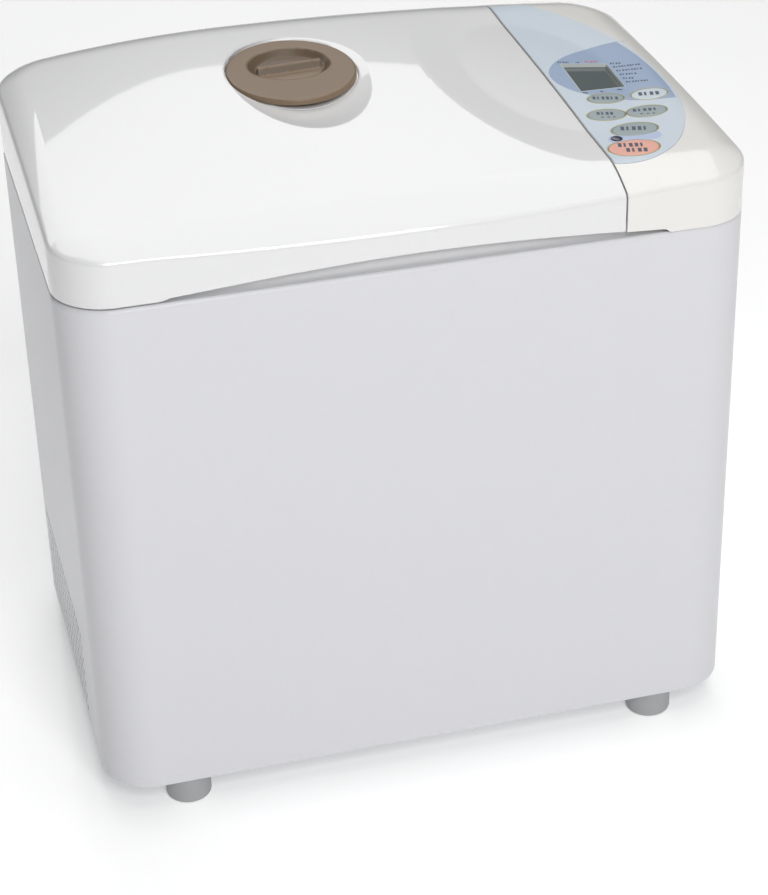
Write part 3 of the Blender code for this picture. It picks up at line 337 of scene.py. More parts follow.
def cut(item, bm, operation="DIFFERENCE"):
    """Takes a solid out of a piece for good, or joins it on."""
    tool = add("tool", lifted_mesh("tool", bm))
    boolean = item.modifiers.new("cut", "BOOLEAN")
    boolean.object = tool
    boolean.operation = operation
    boolean.solver = "EXACT"
    graph = bpy.context.evaluated_depsgraph_get()
    result = bpy.data.meshes.new_from_object(item.evaluated_get(graph))
    item.modifiers.clear()
    item.data = result
    soften(result, 30)
    bpy.data.objects.remove(tool, do_unlink=True)


def between(first, second, share):
    return tuple(a + (b - a) * share for a, b in zip(first, second))


# --- Materials ---
class Look:
    """A node material with one Principled shader."""

    def __init__(self, name, **values):
        self.material = bpy.data.materials.new(name)
        self.material.use_nodes = True
        self.tree = self.material.node_tree
        self.shader = self.tree.nodes["Principled BSDF"]
        for socket, value in values.items():
            self.shader.inputs[socket.replace("_", " ")].default_value = value
        self.place = self.node("ShaderNodeTexCoord").outputs["Object"]

    def node(self, kind, **values):
        made = self.tree.nodes.new(kind)
        for key, value in values.items():
            made.inputs[key].default_value = value
        return made

    def link(self, start, end):
        self.tree.links.new(start, end)

    def noise(self, scale, detail):
        made = self.node("ShaderNodeTexNoise", Scale=scale, Detail=detail)
        self.link(self.place, made.inputs["Vector"])
        return made.outputs["Fac"]

    def ramp(self, source, stops):
        """Base colour from a noise, through a few stops."""
        made = self.node("ShaderNodeValToRGB")
        elements = made.color_ramp.elements
        for element, (position, colour) in zip(elements, (stops[0], stops[-1])):
            element.position = position
            element.color = (*colour, 1.0)
        for position, colour in stops[1:-1]:
            elements.new(position).color = (*colour, 1.0)
        self.link(source, made.inputs["Fac"])
        self.link(made.outputs["Color"], self.shader.inputs["Base Color"])

    def tint(self, source, colour, amount):
        """Lets a noise shift a colour a little darker and lighter."""
        ends = (1 - amount, 1 + amount)
        self.ramp(source, [(i, tuple(clamp(c * end) for c in colour)) for i, end in enumerate(ends)])

    def roughness(self, source, low, high):
        made = self.node("ShaderNodeMapRange", **{"To Min": low, "To Max": high})
        self.link(source, made.inputs["Value"])
        self.link(made.outputs["Result"], self.shader.inputs["Roughness"])

    def bump(self, source, height, strength):
        made = self.node("ShaderNodeBump", Strength=strength, Distance=height)
        self.link(source, made.inputs["Height"])
        self.link(made.outputs["Normal"], self.shader.inputs["Normal"])


def plastic(name, colour, rough, coat=0.0, coat_ior=1.5):
    """Moulded plastic: faint flow marks, soft uneven gloss and a fine skin."""
    look = Look(name, Coat_Weight=coat, Coat_Roughness=0.03, Coat_IOR=coat_ior)
    look.tint(look.noise(260, 2), colour, 0.006)
    look.roughness(look.noise(120, 3), rough * 0.9, rough * 1.12)
    look.bump(look.noise(900, 2), 0.000004, 0.3)
    return look.material


def enamel(name, colour, rough):
    """Stoved enamel on sheet: an even colour with a faintly uneven gloss."""
    look = Look(name, Specular_IOR_Level=0.2)
    look.tint(look.noise(240, 2), colour, 0.004)
    look.roughness(look.noise(120, 3), rough * 0.97, rough * 1.03)
    return look.material


def metal(name, colour, rough, brush=(1, 1, 1)):
    """Bare metal with fine lines along one axis and cloudy wear."""
    look = Look(name, Metallic=1.0)
    mapping = look.node("ShaderNodeMapping", Scale=brush)
    look.link(look.place, mapping.inputs["Vector"])
    lines = look.node("ShaderNodeTexNoise", Scale=60.0, Detail=6.0, Roughness=0.65)
    look.link(mapping.outputs["Vector"], lines.inputs["Vector"])
    look.tint(look.noise(18, 4), colour, 0.10)
    look.roughness(lines.outputs["Fac"], rough * 0.75, rough * 1.3)
    look.bump(lines.outputs["Fac"], 0.00002, 0.3)
    return look.material


def nonstick(name):
    """Dark coating with tiny pale flecks."""
    look = Look(name)
    stops = [(0.0, (0.030, 0.030, 0.033)), (0.62, (0.045, 0.045, 0.05)), (0.72, (0.16, 0.16, 0.17))]
    look.ramp(look.noise(1400, 1), stops)
    look.roughness(look.noise(90, 3), 0.34, 0.50)
    look.bump(look.noise(700, 2), 0.00003, 0.35)
    return look.material


def rubber(name, colour):
    look = Look(name)
    look.tint(look.noise(40, 4), colour, 0.06)
    look.roughness(look.noise(120, 3), 0.5, 0.68)
    look.bump(look.noise(1500, 2), 0.00002, 0.5)
    return look.material


def board(name):
    """Circuit board: solder mask with paler tracks."""
    look = Look(name)
    cells = look.node("ShaderNodeTexVoronoi", Scale=150.0)
    look.link(look.place, cells.inputs["Vector"])
    stops = [(0.0, (0.02, 0.11, 0.04)), (0.5, (0.03, 0.16, 0.06)), (0.6, (0.08, 0.28, 0.12))]
    look.ramp(cells.outputs["Distance"], stops)
    look.roughness(look.noise(80, 2), 0.3, 0.45)
    look.bump(cells.outputs["Distance"], 0.00005, 0.3)
    return look.material


def smoky(name, depth=1.0):
    """Smoked plastic that lets a little light through; a depth below 1 darkens its whole colour, which gives
    a darker copy used as painted shade.
    """
    look = Look(name, Transmission_Weight=0.12, IOR=1.42)
    look.tint(look.noise(20, 2), [c * depth for c in (0.262, 0.186, 0.123)], 0.03)
    look.roughness(look.noise(70, 3), 0.30, 0.38)
    look.bump(look.noise(1100, 2), 0.000004, 0.3)
    return look.material


# --- The lid's outline ---
def stations(cut_x, along_front, along_side, around_corner, along_seam, rear_marks):
    """Points round the part of the body outline left of the seam.

    Each is (x, y), the direction in from the edge, and the direction through the wall.
    """
    half_w, half_d = WIDTH / 2 - CORNER, DEPTH / 2
    front = [cut_x + (-half_w - cut_x) * i / along_front for i in range(along_front + 1)]
    out = []

    def run(y_sign, positions):
        for x in positions:
            wall_x = -1 if x == cut_x else 0
            out.append(((x, y_sign * half_d), (0, -y_sign), (wall_x, -y_sign)))

    def corner(y_sign, order):
        for i in order:
            a = math.radians(90 * i / around_corner)
            nx, ny = -math.sin(a), y_sign * math.cos(a)
            place = (-half_w + CORNER * nx, y_sign * (half_d - CORNER) + CORNER * ny)
            out.append((place, (-nx, -ny), (-nx, -ny)))

    run(-1, front)
    corner(-1, range(1, around_corner + 1))
    for i in range(1, along_side):
        y = (half_d - CORNER) * (2 * i / along_side - 1)
        out.append(((-WIDTH / 2, y), (1, 0), (1, 0)))
    corner(1, range(around_corner, 0, -1))
    run(1, sorted(front + rear_marks))
    for i in range(along_seam + 1):
        share = 0.992 - 1.984 * i / along_seam
        out.append(((cut_x, half_d * share), (0, -share), (-1, -share)))
    return out


def at(station, wall, inset):
    (x, y), (ix, iy), (wx, wy) = station
    return x + wx * wall + ix * (inset - wall * bool(ix or iy)), y + wy * wall + iy * (inset - wall)


def polar(point, a, b):
    angle = math.atan2((point[1] - COVER_Y) / b, (point[0] - COVER_X) / a)
    return COVER_X + a * math.cos(angle), COVER_Y + b * math.sin(angle)


def scoop_edge(point, margin):
    """The border of the finger scoop in the direction of a point."""
    dx, dy = point[0] - SCOOP_X, point[1] - SCOOP_Y
    length = math.hypot(dx, dy)
    reach = 1 / math.hypot(dx / length / SCOOP_A, dy / length / scoop_half(point[1])) + margin
    return SCOOP_X + dx / length * reach, SCOOP_Y + dy / length * reach


def snap_to_dish(start, end, index, count):
    """One of the points along a line, moved onto the dish's border if that is within half a step."""
    x, y = between(start, end, index / count)
    rho = dish_rho(x, y)
    if x > SEAM_X - 2 or rho < 0.5:
        return x, y
    dx, dy = x - PANEL_X, y - PANEL_Y
    length = math.hypot(dx, dy)
    step = abs((end[0] - start[0]) * dx + (end[1] - start[1]) * dy) / length / count
    if abs(1 / rho - 1) * length > min(1.6, step / 2):
        return x, y
    return PANEL_X + dx / rho, PANEL_Y + dy / rho


# --- Pieces ---
def lid_shell(look):
    """The lid as one closed skin, from the skirt over the top into the cover's seat and back under."""
    cut_x = SEAM_X - SEAM_GAP / 2
    notch_edges = []
    for hinge in HINGES:
        for reach in (NOTCH_HALF, NOTCH_HALF + 0.1):
            notch_edges += [hinge - reach, hinge + reach]
    points = stations(cut_x, 80, 56, 16, 84, notch_edges)

    def lower_z(station):
        x, y = station[0]
        on_seam = abs(x - cut_x) < 0.01 and abs(y) < DEPTH / 2 - 0.5
        return seam_wall_z(y) if on_seam else skirt_z(x, y)

    def low_ring(wall, rise):
        return [(x, y, lower_z(s) + rise) for s in points for x, y in [at(s, wall, wall)]]

    # skirt, rolled edge and shoulder
    rings = [low_ring(0.6, 0), low_ring(0, 0.6)]
    for inset in (0, 0.15, 0.5, 1.0, 1.5, 2, 3, 4.5, 6.5, 9, 12, 15, 18.5, 22, 26):
        rings.append(raised((at(s, 0, inset) for s in points), rounded_top_z))
    # top surface in to the finger scoop
    edge = [(x, y) for x, y, z in rings[-1]]
    steps = 44
    for k in range(1, steps):
        row = [snap_to_dish(p, scoop_edge(p, 0.8), k, steps) for p in edge]
        rings.append(raised(row, rounded_top_z))
    for margin in (0.8, 0.3, 0.0):
        rings.append(raised((scoop_edge(p, margin) for p in edge), top_z))
    # scoop, cover seat and hole
    border = [scoop_edge(p, 0) for p in edge]
    brink = [seat_point(p, -1.0) for p in edge]
    for k in range(1, 13):
        rings.append(raised((between(p, q, k / 12) for p, q in zip(border, brink)), scoop_z(0)))
    for inward, under in ((-0.75, 0.03), (-0.5, 0.11), (-0.25, 0.27), (-0.08, 0.5), (0, 0.9)):
        rings.append(raised((seat_point(p, inward) for p in edge), scoop_z(under)))
    for inward in (0.06, 0.3, 1.2):
        rings.append(raised((seat_point(p, inward) for p in edge), ledge_z))
    ledge = [seat_point(p, 1.2) for p in edge]
    hole = [polar(p, HOLE_A, HOLE_B) for p in edge]
    for share in (0.5, 1.0):
        rings.append(raised((between(p, q, share) for p, q in zip(ledge, hole)), ledge_z))
    # underside
    rings.append([(x, y, z - SHELL_WALL) for x, y, z in rings[-1]])
    row = []
    for (x, y), (sx, sy) in zip((seat_point(p, -2.0) for p in edge), (seat_point(p) for p in edge)):
        row.append((x, y, top_z(x, y) - SHELL_WALL - max(scoop_depth(sx, sy), seat_depth(sy))))
    rings.append(row)
    rings.append(raised((scoop_edge(p, 3.5) for p in edge), over_top(-SHELL_WALL)))
    for inset, lower in ((26, 0.5), (15, 0.5), (8, 0.5), (3.4, 0.5), (SHELL_WALL, 2.0)):
        rings.append(raised((at(s, SHELL_WALL, inset) for s in points), over_top(-SHELL_WALL - lower)))
    rings.append(low_ring(SHELL_WALL, 0))
    piece("lid_shell", loft(rings, closed=True), look, "lid", ["lid_cover"], angle=30)


def housing_rows(wall, y_stations, shares):
    """Rows of points across the housing, from the seam to the outline."""
    half_d, x0, reach = DEPTH / 2 - wall, SEAM_X + SEAM_GAP / 2 + wall, CORNER - wall
    rows = []
    for share_y in y_stations:
        y = share_y * half_d
        beyond = max(abs(y) - (DEPTH / 2 - CORNER), 0)
        x1 = WIDTH / 2 - CORNER + math.sqrt(max(reach * reach - beyond * beyond, 0))
        rows.append([(x0 + (x1 - x0) * share, y) for share in shares])
    return rows


def housing_skirt_z(x, y):
    if x < SEAM_X + 4 and abs(y) < DEPTH / 2 - SHELL_WALL - 0.1:
        return seam_wall_z(y)
    if y < -DEPTH / 2 + 3 and x < ARCH_RIGHT:
        return arch_z(x)
    return CASE_TOP + GAP


def eased(count, power):
    """Shares from 0 to 1, closer together towards both ends."""
    out = []
    for i in range(count + 1):
        t = i / count
        out.append(0.5 * (2 * t) ** power if t < 0.5 else 1 - 0.5 * (2 - 2 * t) ** power)
    return out


def control_housing(look):
    """The shell right of the seam, open below, with its openings for the panel."""
    y_stations = [2 * t - 1 for t in eased(96, 2.0)]
    bm = bmesh.new()
    borders = []
    for wall, surface in ((0.0, rounded_top_z), (SHELL_WALL, over_top(-SHELL_WALL))):
        rows = housing_rows(wall, y_stations, eased(40, 1.9))
        borders.append(rim_of(sheet(bm, rows, surface)))
    lower = []
    for border in borders:
        feet = [(v.co.x, v.co.y, housing_skirt_z(v.co.x / MM, v.co.y / MM) * MM) for v in border]
        lower.append([bm.verts.new(p) for p in feet])
    loops = (borders[0], lower[0], lower[1], borders[1])
    for first, second in zip(loops, loops[1:]):
        bridge(bm, first, second)
    shell = piece("control_shell", bm, look, "machine", ["control_housing"], angle=30)
    cut(shell, label_slab(0.3, LABEL_TOP - 0.5, 9.0, 60, 16))
    open_panel(shell)


def screen_ring(margin, z):
    """The display opening's outline, moved out by a margin on each side."""
    points = []
    for (x, y), (sx, sy) in zip(SCREEN, ((-1, -1), (1, -1), (1, 1), (-1, 1))):
        points.append((x + sx * margin, y + sy * margin))
    return raised(points, z)


def screen_level(rise):
    """A flat plane under the display opening, tilted like the surface round it."""
    x0 = sum(x for x, y in SCREEN) / 4
    y0 = sum(y for x, y in SCREEN) / 4
    slope_x = (top_z(x0 + 9, y0) - top_z(x0 - 9, y0)) / 18
    slope_y = (top_z(x0, y0 + 12) - top_z(x0, y0 - 12)) / 24
    return lambda x, y: top_z(x0, y0) + slope_x * (x - x0) + slope_y * (y - y0) + rise


def open_panel(item):
    """Cuts the openings for the lamp, the display and the keys."""
    ends = (300.5, 360)
    bm = loft([disc(LAMP_X, LAMP_Y, LAMP_R + KEY_PLAY, z) for z in ends])
    loft([screen_ring(0.0, z) for z in ends], bm=bm)
    for x, y, w, d in BUTTONS.values():
        loft([oval(x, y, w / 2 + KEY_PLAY, d / 2 + KEY_PLAY, z, 64, KEY_TURN) for z in ends], bm=bm)
    cut(item, bm)


def panel_span(y, margin):
    """The panel oval's left and right limits at one depth."""
    a, b, across = PANEL_A + margin, PANEL_B + margin, y - PANEL_Y
    c, s = math.cos(PANEL_TURN), math.sin(PANEL_TURN)
    square = (c / a) ** 2 + (s / b) ** 2
    linear = c * s * across * (1 / a ** 2 - 1 / b ** 2)
    constant = across ** 2 * ((s / a) ** 2 + (c / b) ** 2) - 1
    reach = math.sqrt(max(linear ** 2 - square * constant, 0)) / square
    middle = PANEL_X - linear / square
    return middle - reach, middle + reach


def label_slab(margin, low, high, down=72, across=24):
    """The part of the panel oval on the housing, between two heights over the top surface."""
    seam = SEAM_X + SEAM_GAP / 2 + 0.4 - margin
    a, b = PANEL_A + margin, PANEL_B + margin
    front = PANEL_Y - math.hypot(a * math.sin(PANEL_TURN), b * math.cos(PANEL_TURN)) + 0.02
    rear = LABEL_REAR + margin
    rows = []
    for i in range(down + 1):
        y = front + (rear - front) * (1 - math.cos(math.pi / 2 * i / down))
        left, right = panel_span(y, margin)
        left = max(left, seam)
        rows.append([(left + (right - left) * i / across, y) for i in range(across + 1)])
    return slab(rows, over_top(low), over_top(high))


def case_shell(look):
    top = CASE_TOP
    profile = [(0.3, FOOT_HEIGHT), (0, FOOT_HEIGHT + 0.4)]
    profile += [(0, FOOT_HEIGHT + 60), (0, top - 60), (0, top - 2.6)]
    for i in range(1, 16):
        a = math.radians(180 * i / 16)
        profile.append((2 - 2 * math.cos(a), top - 2 + 2 * math.sin(a) - 0.6 * (1 - math.sin(a))))
    profile += [(4, top - 2.6), (4, top - 3.2), (CASE_WALL, top - 3.2), (CASE_WALL, FOOT_HEIGHT)]
    rings = [body_ring(d, z, 20) for d, z in profile]
    shell = piece("case_shell", loft(rings, closed=True), look, "machine", ["outer_case"])
    holes = bmesh.new()
    for side in (-1, 1):
        x = side * WIDTH / 2
        for row in range(VENT_ROWS):
            for column in range(VENT_COLUMNS):
                y = VENT_Y + VENT_ACROSS * column
                rod_x(x - 5, x + 5, y, VENT_Z + VENT_UP * row, 2.5, 1.9, holes)
    box(INLET_X - INLET_HALF_W, INLET_X + INLET_HALF_W, DEPTH / 2 - 6, DEPTH / 2 + 6,
        INLET_Z - INLET_HALF_H, INLET_Z + INLET_HALF_H, bm=holes)
    cut(shell, holes)


def rod_x(x0, x1, y, z, half_y, half_z, bm, sides=10):
    """An oval rod along X."""
    angles = [2 * math.pi * i / sides for i in range(sides)]
    outline = [(y + half_y * math.cos(a), z + half_z * math.sin(a)) for a in angles]
    loft([[(x, *point) for point in outline] for x in (x0, x1)], bm=bm)


def feet(look):
    low, r = -FOOT_DROP, FOOT_R
    profile = [(0.01, low + 0.4), (7.5, low + 0.4), (8.0, low), (r - 1.4, low), (r - 0.7, low + 0.2)]
    profile += [(r - 0.25, low + 0.7), (r, low + 1.6), (r, FOOT_HEIGHT - 1), (r - 0.4, FOOT_HEIGHT)]
    for end, sy in (("front", -1), ("rear", 1)):
        for side, sx in (("left", -1), ("right", 1)):
            name = f"foot_{end}_{side}"
            rings = [disc(FOOT_X * sx, FOOT_Y * sy, radius, z, 16) for radius, z in profile]
            piece(name + "_pad", loft(rings), look, "machine", [name])


def frame_shell(look):
    """The frame between case and lid: a rim round the outside and a ledge round the oven."""
    def rim_z(drop):
        return lambda x, y: FRAME_RIM - FRAME_REAR_DROP * smooth((y - 84) / 10) - drop

    rings = [body_ring(4.5, FRAME_LOW)]
    for inset, drop in ((4.5, 0.6), (4.7, 0.15), (5.2, 0), (6.8, 0), (7.3, 0.15), (7.5, 0.6)):
        rings.append(body_ring(inset, rim_z(drop)))
    rings += [body_ring(7.5, FRAME_LEDGE + 0.4), body_ring(7.9, FRAME_LEDGE)]
    rings += [oven_ring(inset, FRAME_LEDGE - drop) for inset, drop in ((0.3, 0), (1.2, 0.3), (1.5, 0.9))]
    rings.append(oven_ring(1.5, FRAME_BAND))
    rings += [body_ring(8.5, FRAME_BAND), body_ring(8.5, FRAME_LOW)]
    piece("top_frame_moulding", loft(rings, closed=True), look, "machine", ["top_frame"])


def cover_plane(x, y):
    front, rear = top_z(COVER_X, COVER_Y - COVER_B), top_z(COVER_X, COVER_Y + COVER_B)
    return front + (rear - front) * (y - COVER_Y + COVER_B) / (2 * COVER_B) + COVER_TOP


def finger_rho(x, y):
    """How far out a point is in the cover's finger dish: 1 on its border."""
    return math.hypot((x - FINGER_DISH_X) / FINGER_DISH_A, (y - FINGER_DISH_Y) / FINGER_DISH_B)


def cover_upper(x, y):
    """Top of the dispenser cover: a flat rim, an oval finger dish and a grip bar with a raked front."""
    dx, dy = x - FINGER_DISH_X, y - FINGER_DISH_Y
    dish = FINGER_DISH_DEPTH * (1 - smooth((finger_rho(x, y) - 0.76) / 0.24))
    along = dx * math.cos(GRIP_TURN) + dy * math.sin(GRIP_TURN)
    across = dy * math.cos(GRIP_TURN) - dx * math.sin(GRIP_TURN)
    width = 1.0 if across > 0 else 2.8
    bar = smooth((GRIP_HALF - abs(along)) / 1.6 + 0.5) * clamp(1.0 - (abs(across) - 0.7) / width)
    return -dish * (1 - bar)


def cover_under(x, y):
    """Underside of the dispenser cover, lower under the finger dish."""
    return -2.6 * (1 - smooth((finger_rho(x, y) - 0.8) / 0.25))


def cover_ring(share, offset, shape=cover_upper):
    outer = oval(COVER_X, COVER_Y, COVER_A, COVER_B, 0.0, 192)
    points = [between((FINGER_DISH_X, FINGER_DISH_Y), p[:2], share) for p in outer]
    return [(x, y, cover_plane(x, y) + offset + shape(x, y)) for x, y in points]


def dispenser_cover(look, painted_shade_look):
    fine = 72
    rings = [cover_ring(k / fine, 0.0) for k in range(1, fine - 3)]
    for share, drop in ((0.962, 0.0), (0.976, 0.06), (0.987, 0.2), (0.995, 0.45), (1.0, 0.9)):
        rings.append(cover_ring(share, -drop))
    rings += [cover_ring(1.0, -COVER_THICK + 0.3), cover_ring(0.99, -COVER_THICK)]
    for share in (0.84, 0.7, 0.62, 0.56, 0.5, 0.44, 0.38, 0.2, 0.01):
        rings.append(cover_ring(share, -COVER_THICK, cover_under))
    cover = piece("dispenser_cover_shell", loft(rings), look, "dispenser_cover", ["dispenser_cover"])
    # painted shade: the dish's wall and its floor behind the grip bar get the darker copy of the smoked
    # plastic
    cover.data.materials.append(painted_shade_look)
    for face in cover.data.polygons:
        x, y, z = (c / MM for c in face.center)
        rho = finger_rho(x, y)
        behind = (y - FINGER_DISH_Y) * math.cos(GRIP_TURN) > (x - FINGER_DISH_X) * math.sin(GRIP_TURN) - 3
        lowered = z - FOOT_DROP < cover_plane(x, y) - 0.6
        if rho < 1 and face.normal.z > 0 and lowered and (behind or rho > 0.74):
            face.material_index = 1


def key_oval(key, a, b, z):
    return oval(key[0], key[1], a, b, z, 96, KEY_TURN)


def buttons(looks):
    """Domed key caps, each with a printed line round it."""
    for name, key in BUTTONS.items():
        a, b = key[2] / 2, key[3] / 2
        rings = [key_oval(key, a, b, KEY_FOOT)]
        for shrink, drop in ((0, 0.45), (0.08, 0.28), (0.25, 0.14), (0.55, 0.04), (1.0, 0.0)):
            rings.append(key_oval(key, a - shrink, b - shrink, over_top(KEY_RISE - drop)))
        for share in (0.8, 0.6, 0.4, 0.2, 0.02):
            rings.append(key_oval(key, a * share, b * share, over_top(KEY_RISE)))
        colour = KEY_LOOKS.get(name, "key")
        piece(name + "_cap", loft(rings), looks[colour], name, [name])
        line = []
        for out, level in ((0.36, -0.1), (1.0, -0.1), (1.0, 0.1), (0.36, 0.1)):
            line.append(key_oval(key, a + out, b + out, over_top(LABEL_TOP + level)))
        piece(name + "_outline", loft(line, closed=True), looks["gold"], "machine")


def bar(start, end, thick, height, bm):
    """A thin printed bar between two points on the top surface."""
    dx, dy = end[0] - start[0], end[1] - start[1]
    length = math.hypot(dx, dy)
    nx, ny = -dy / length * thick / 2, dx / length * thick / 2
    corners = ((start[0] + nx, start[1] + ny), (start[0] - nx, start[1] - ny))
    corners += ((end[0] - nx, end[1] - ny), (end[0] + nx, end[1] + ny))
    rings = []
    for level in (height - PRINT_SUNK, height + PRINT):
        rings.append([(x, y, top_z(x, y) + level) for x, y in corners])
    loft(rings, bm=bm)


def row_of_blocks(start, end, thick, count, height, bm):
    """A row of small upright blocks of two widths in place of a printed word."""
    for i in range(count):
        first = (i + 0.1) / count
        last = (i + (0.5 if i % 3 == 1 else 0.74)) / count
        bar(between(start, end, first), between(start, end, last), thick, height, bm)


def prints(looks):
    """Everything printed on the label and the keys: plain blocks and dots."""
    on_label = LABEL_TOP + 0.1
    dark = bmesh.new()
    row_of_blocks((120.6, 24.4), (127.2, 23.0), 1.7, 5, on_label, dark)
    loft([[(x, y, top_z(x, y) + level) for x, y in ((130.4, 22.6), (131.5, 20.9), (132.7, 22.2))]
          for level in (0.1, on_label + PRINT)], bm=dark)
    ends = ((154.4, 15.1), (163.8, 10.2), (162.9, 4.6), (157.9, -0.4), (154.3, -5.4), (160.8, -11.1))
    for i, end in enumerate(ends):
        start = (148.4, 17.1 - 5.15 * i)
        row_of_blocks(start, end, 1.7, max(4, round((end[0] - start[0]) / 1.6)), on_label, dark)
    for start, end in (((120.8, -16.9), (123.4, -17.6)), ((130.6, -17.4), (132.1, -18.1)),
                       ((140.3, -17.1), (142.9, -17.8))):
        bar(start, end, 1.1, on_label, dark)
    piece("label_marks", dark, looks["ink"], "machine")
    red = bmesh.new()
    row_of_blocks((135.6, 22.4), (143.3, 20.9), 1.8, 5, on_label, red)
    piece("label_red_mark", red, looks["red"], "machine")
    words = {
        "select_button": (((123.3, -24.9), (137.4, -28.2), 3.6, 6),),
        "menu_button": (((148.7, -26.2), (160.4, -29.0), 4.2, 4),),
        "size_button": (((119.1, -43.2), (128.4, -45.4), 3.2, 4),),
        "crust_button": (((138.8, -44.4), (152.2, -47.1), 3.2, 5),),
        "timer_button": (((125.0, -63.2), (139.3, -67.3), 4.6, 5),),
        "start_stop_button": (
            ((116.8, -81.8), (130.7, -85.2), 4.4, 5),
            ((118.9, -88.4), (130.4, -91.4), 4.4, 4),
        ),
    }
    dots = {
        "size_button": ((120.8, -48.2), (124.0, -48.9), (126.9, -49.4)),
        "crust_button": ((141.9, -50.0), (145.2, -50.8), (148.2, -51.4)),
    }
    for name, rows in words.items():
        bm = bmesh.new()
        for start, end, thick, count in rows:
            row_of_blocks(start, end, thick, count, KEY_RISE, bm)
        for x, y in dots.get(name, ()):
            loft([oval(x, y, 0.75, 0.65, over_top(KEY_RISE + level), 16)
                  for level in (-PRINT_SUNK, PRINT)], bm=bm)
        piece(name + "_mark", bm, looks["ink"], name)


def panel(looks):
    """The label with its field, the display and the timer lamp."""
    open_panel(piece("label_film", label_slab(0.0, LABEL_TOP - 0.4, LABEL_TOP), looks["label"],
                     "machine", ["panel_label"]))
    rows = []
    for i in range(49):
        v = math.sin(math.pi * (i / 48 - 0.5)) * 0.992
        y = FIELD_Y + v * (FIELD_REAR if v > 0 else FIELD_FRONT)
        left = FIELD_X - FIELD_A * math.sqrt(1 - v * v)
        right = max(panel_span(y, -1.8)[1], left + 0.3)
        rows.append([(left + (right - left) * share / 24, y) for share in range(25)])
    low, high = (over_top(LABEL_TOP + level) for level in (-0.2, 0.05))
    open_panel(piece("label_field", slab(rows, low, high), looks["field"], "machine"))
    pill = [ring(PILL_X, PILL_Y, 2 * (PILL_HALF + PILL_R), 2 * PILL_R, PILL_R, z) for z in (low, high)]
    open_panel(piece("timer_backing", loft(pill), looks["pill"], "machine"))
    rings = [screen_ring(margin, over_top(LABEL_TOP + 0.1)) for margin in (-0.02, -0.4)]
    rings += [screen_ring(-0.7, screen_level(-SCREEN_SINK)), screen_ring(-0.02, screen_level(-SCREEN_SINK))]
    piece("display_frame", loft(rings, closed=True), looks["frame"], "machine")
    rings = [screen_ring(-0.1, screen_level(-SCREEN_SINK - rise)) for rise in (1.5, 0.2)]
    piece("lcd_glass", loft(rings), looks["lcd"], "machine", ["lcd_window"])
    rings = [disc(LAMP_X, LAMP_Y, LAMP_R, 320.0)]
    for share, rise in ((1.0, 0.5), (0.93, 0.72), (0.75, 0.9), (0.45, 1.0)):
        rings.append(disc(LAMP_X, LAMP_Y, LAMP_R * share, over_top(rise)))
    piece("timer_lamp_lens", loft(rings), looks["lamp"], "machine", ["timer_lamp"])
    prints(looks)


# --- Oven, pan and the lid's inside ---
def quarter_turn(radius, height, count=6):
    """Insets and heights round a dished corner, from the flat part up to the wall."""
    steps = [math.pi / 2 * i / count for i in range(count + 1)]
    return [(radius * (1 - math.sin(a)), height * (1 - math.cos(a))) for a in steps]


def bead(inset, z, rise, half=3.0):
    """Insets and heights down over a rib pressed into a wall."""
    return [(inset + rise * (1 + math.cos(math.pi * i / 4)) / 2, z - half * i / 4) for i in range(-4, 5)]


def oven_ring(inset, z):
    return ring(OVEN_X, 0, OVEN_W - 2 * inset, OVEN_D - 2 * inset, OVEN_R - inset, z)


def oven_liner(look):
    """The oven: a dished floor with a round opening, ribbed walls and a flange round the top."""
    wall = OVEN_WALL
    rings = [disc(OVEN_X, 0, 16, OVEN_FLOOR, 16)]
    rings += [oven_ring(d, OVEN_FLOOR + h) for d, h in quarter_turn(OVEN_FOOT, OVEN_FOOT)]
    rings += [oven_ring(0, OVEN_TOP - wall), oven_ring(-6, OVEN_TOP - wall), oven_ring(-6, OVEN_TOP)]
    rings += [oven_ring(d, OVEN_TOP - h) for d, h in ((-0.6, 0), (0.3, 0.2), (0.8, 0.7), (wall, 1.5))]
    for z in (285.0, 275.0, 115.0):
        rings += [oven_ring(d, height) for d, height in bead(wall, z, 1.1)]
    for d, h in reversed(quarter_turn(OVEN_FOOT, OVEN_FOOT)):
        rings.append(oven_ring(wall + d * 0.92, OVEN_FLOOR + wall + h * 0.92))
    rings.append(disc(OVEN_X, 0, 16, OVEN_FLOOR + wall, 16))
    liner = piece("oven_liner", loft(rings, closed=True), look, "machine", ["oven_chamber"])
    side = OVEN_X + OVEN_W / 2
    holes = bmesh.new()
    for y, z in ((60, 150), (-8, 84), (8, 84)):
        rod_x(side - 8, side + 8, y, z, 4.4, 4.4, holes, 24)
    cut(liner, holes)


def pan_ring(inset, z):
    """A ring of the pan's tapered wall."""
    narrow = PAN_TAPER * clamp((PAN_TOP - 3 - z) / (PAN_TOP - PAN_FLOOR - 11))
    w, d = PAN_W - narrow - 2 * inset, PAN_D - narrow - 2 * inset
    return ring(OVEN_X, 0, w, d, PAN_R - narrow * 2 / 7 - inset, z)


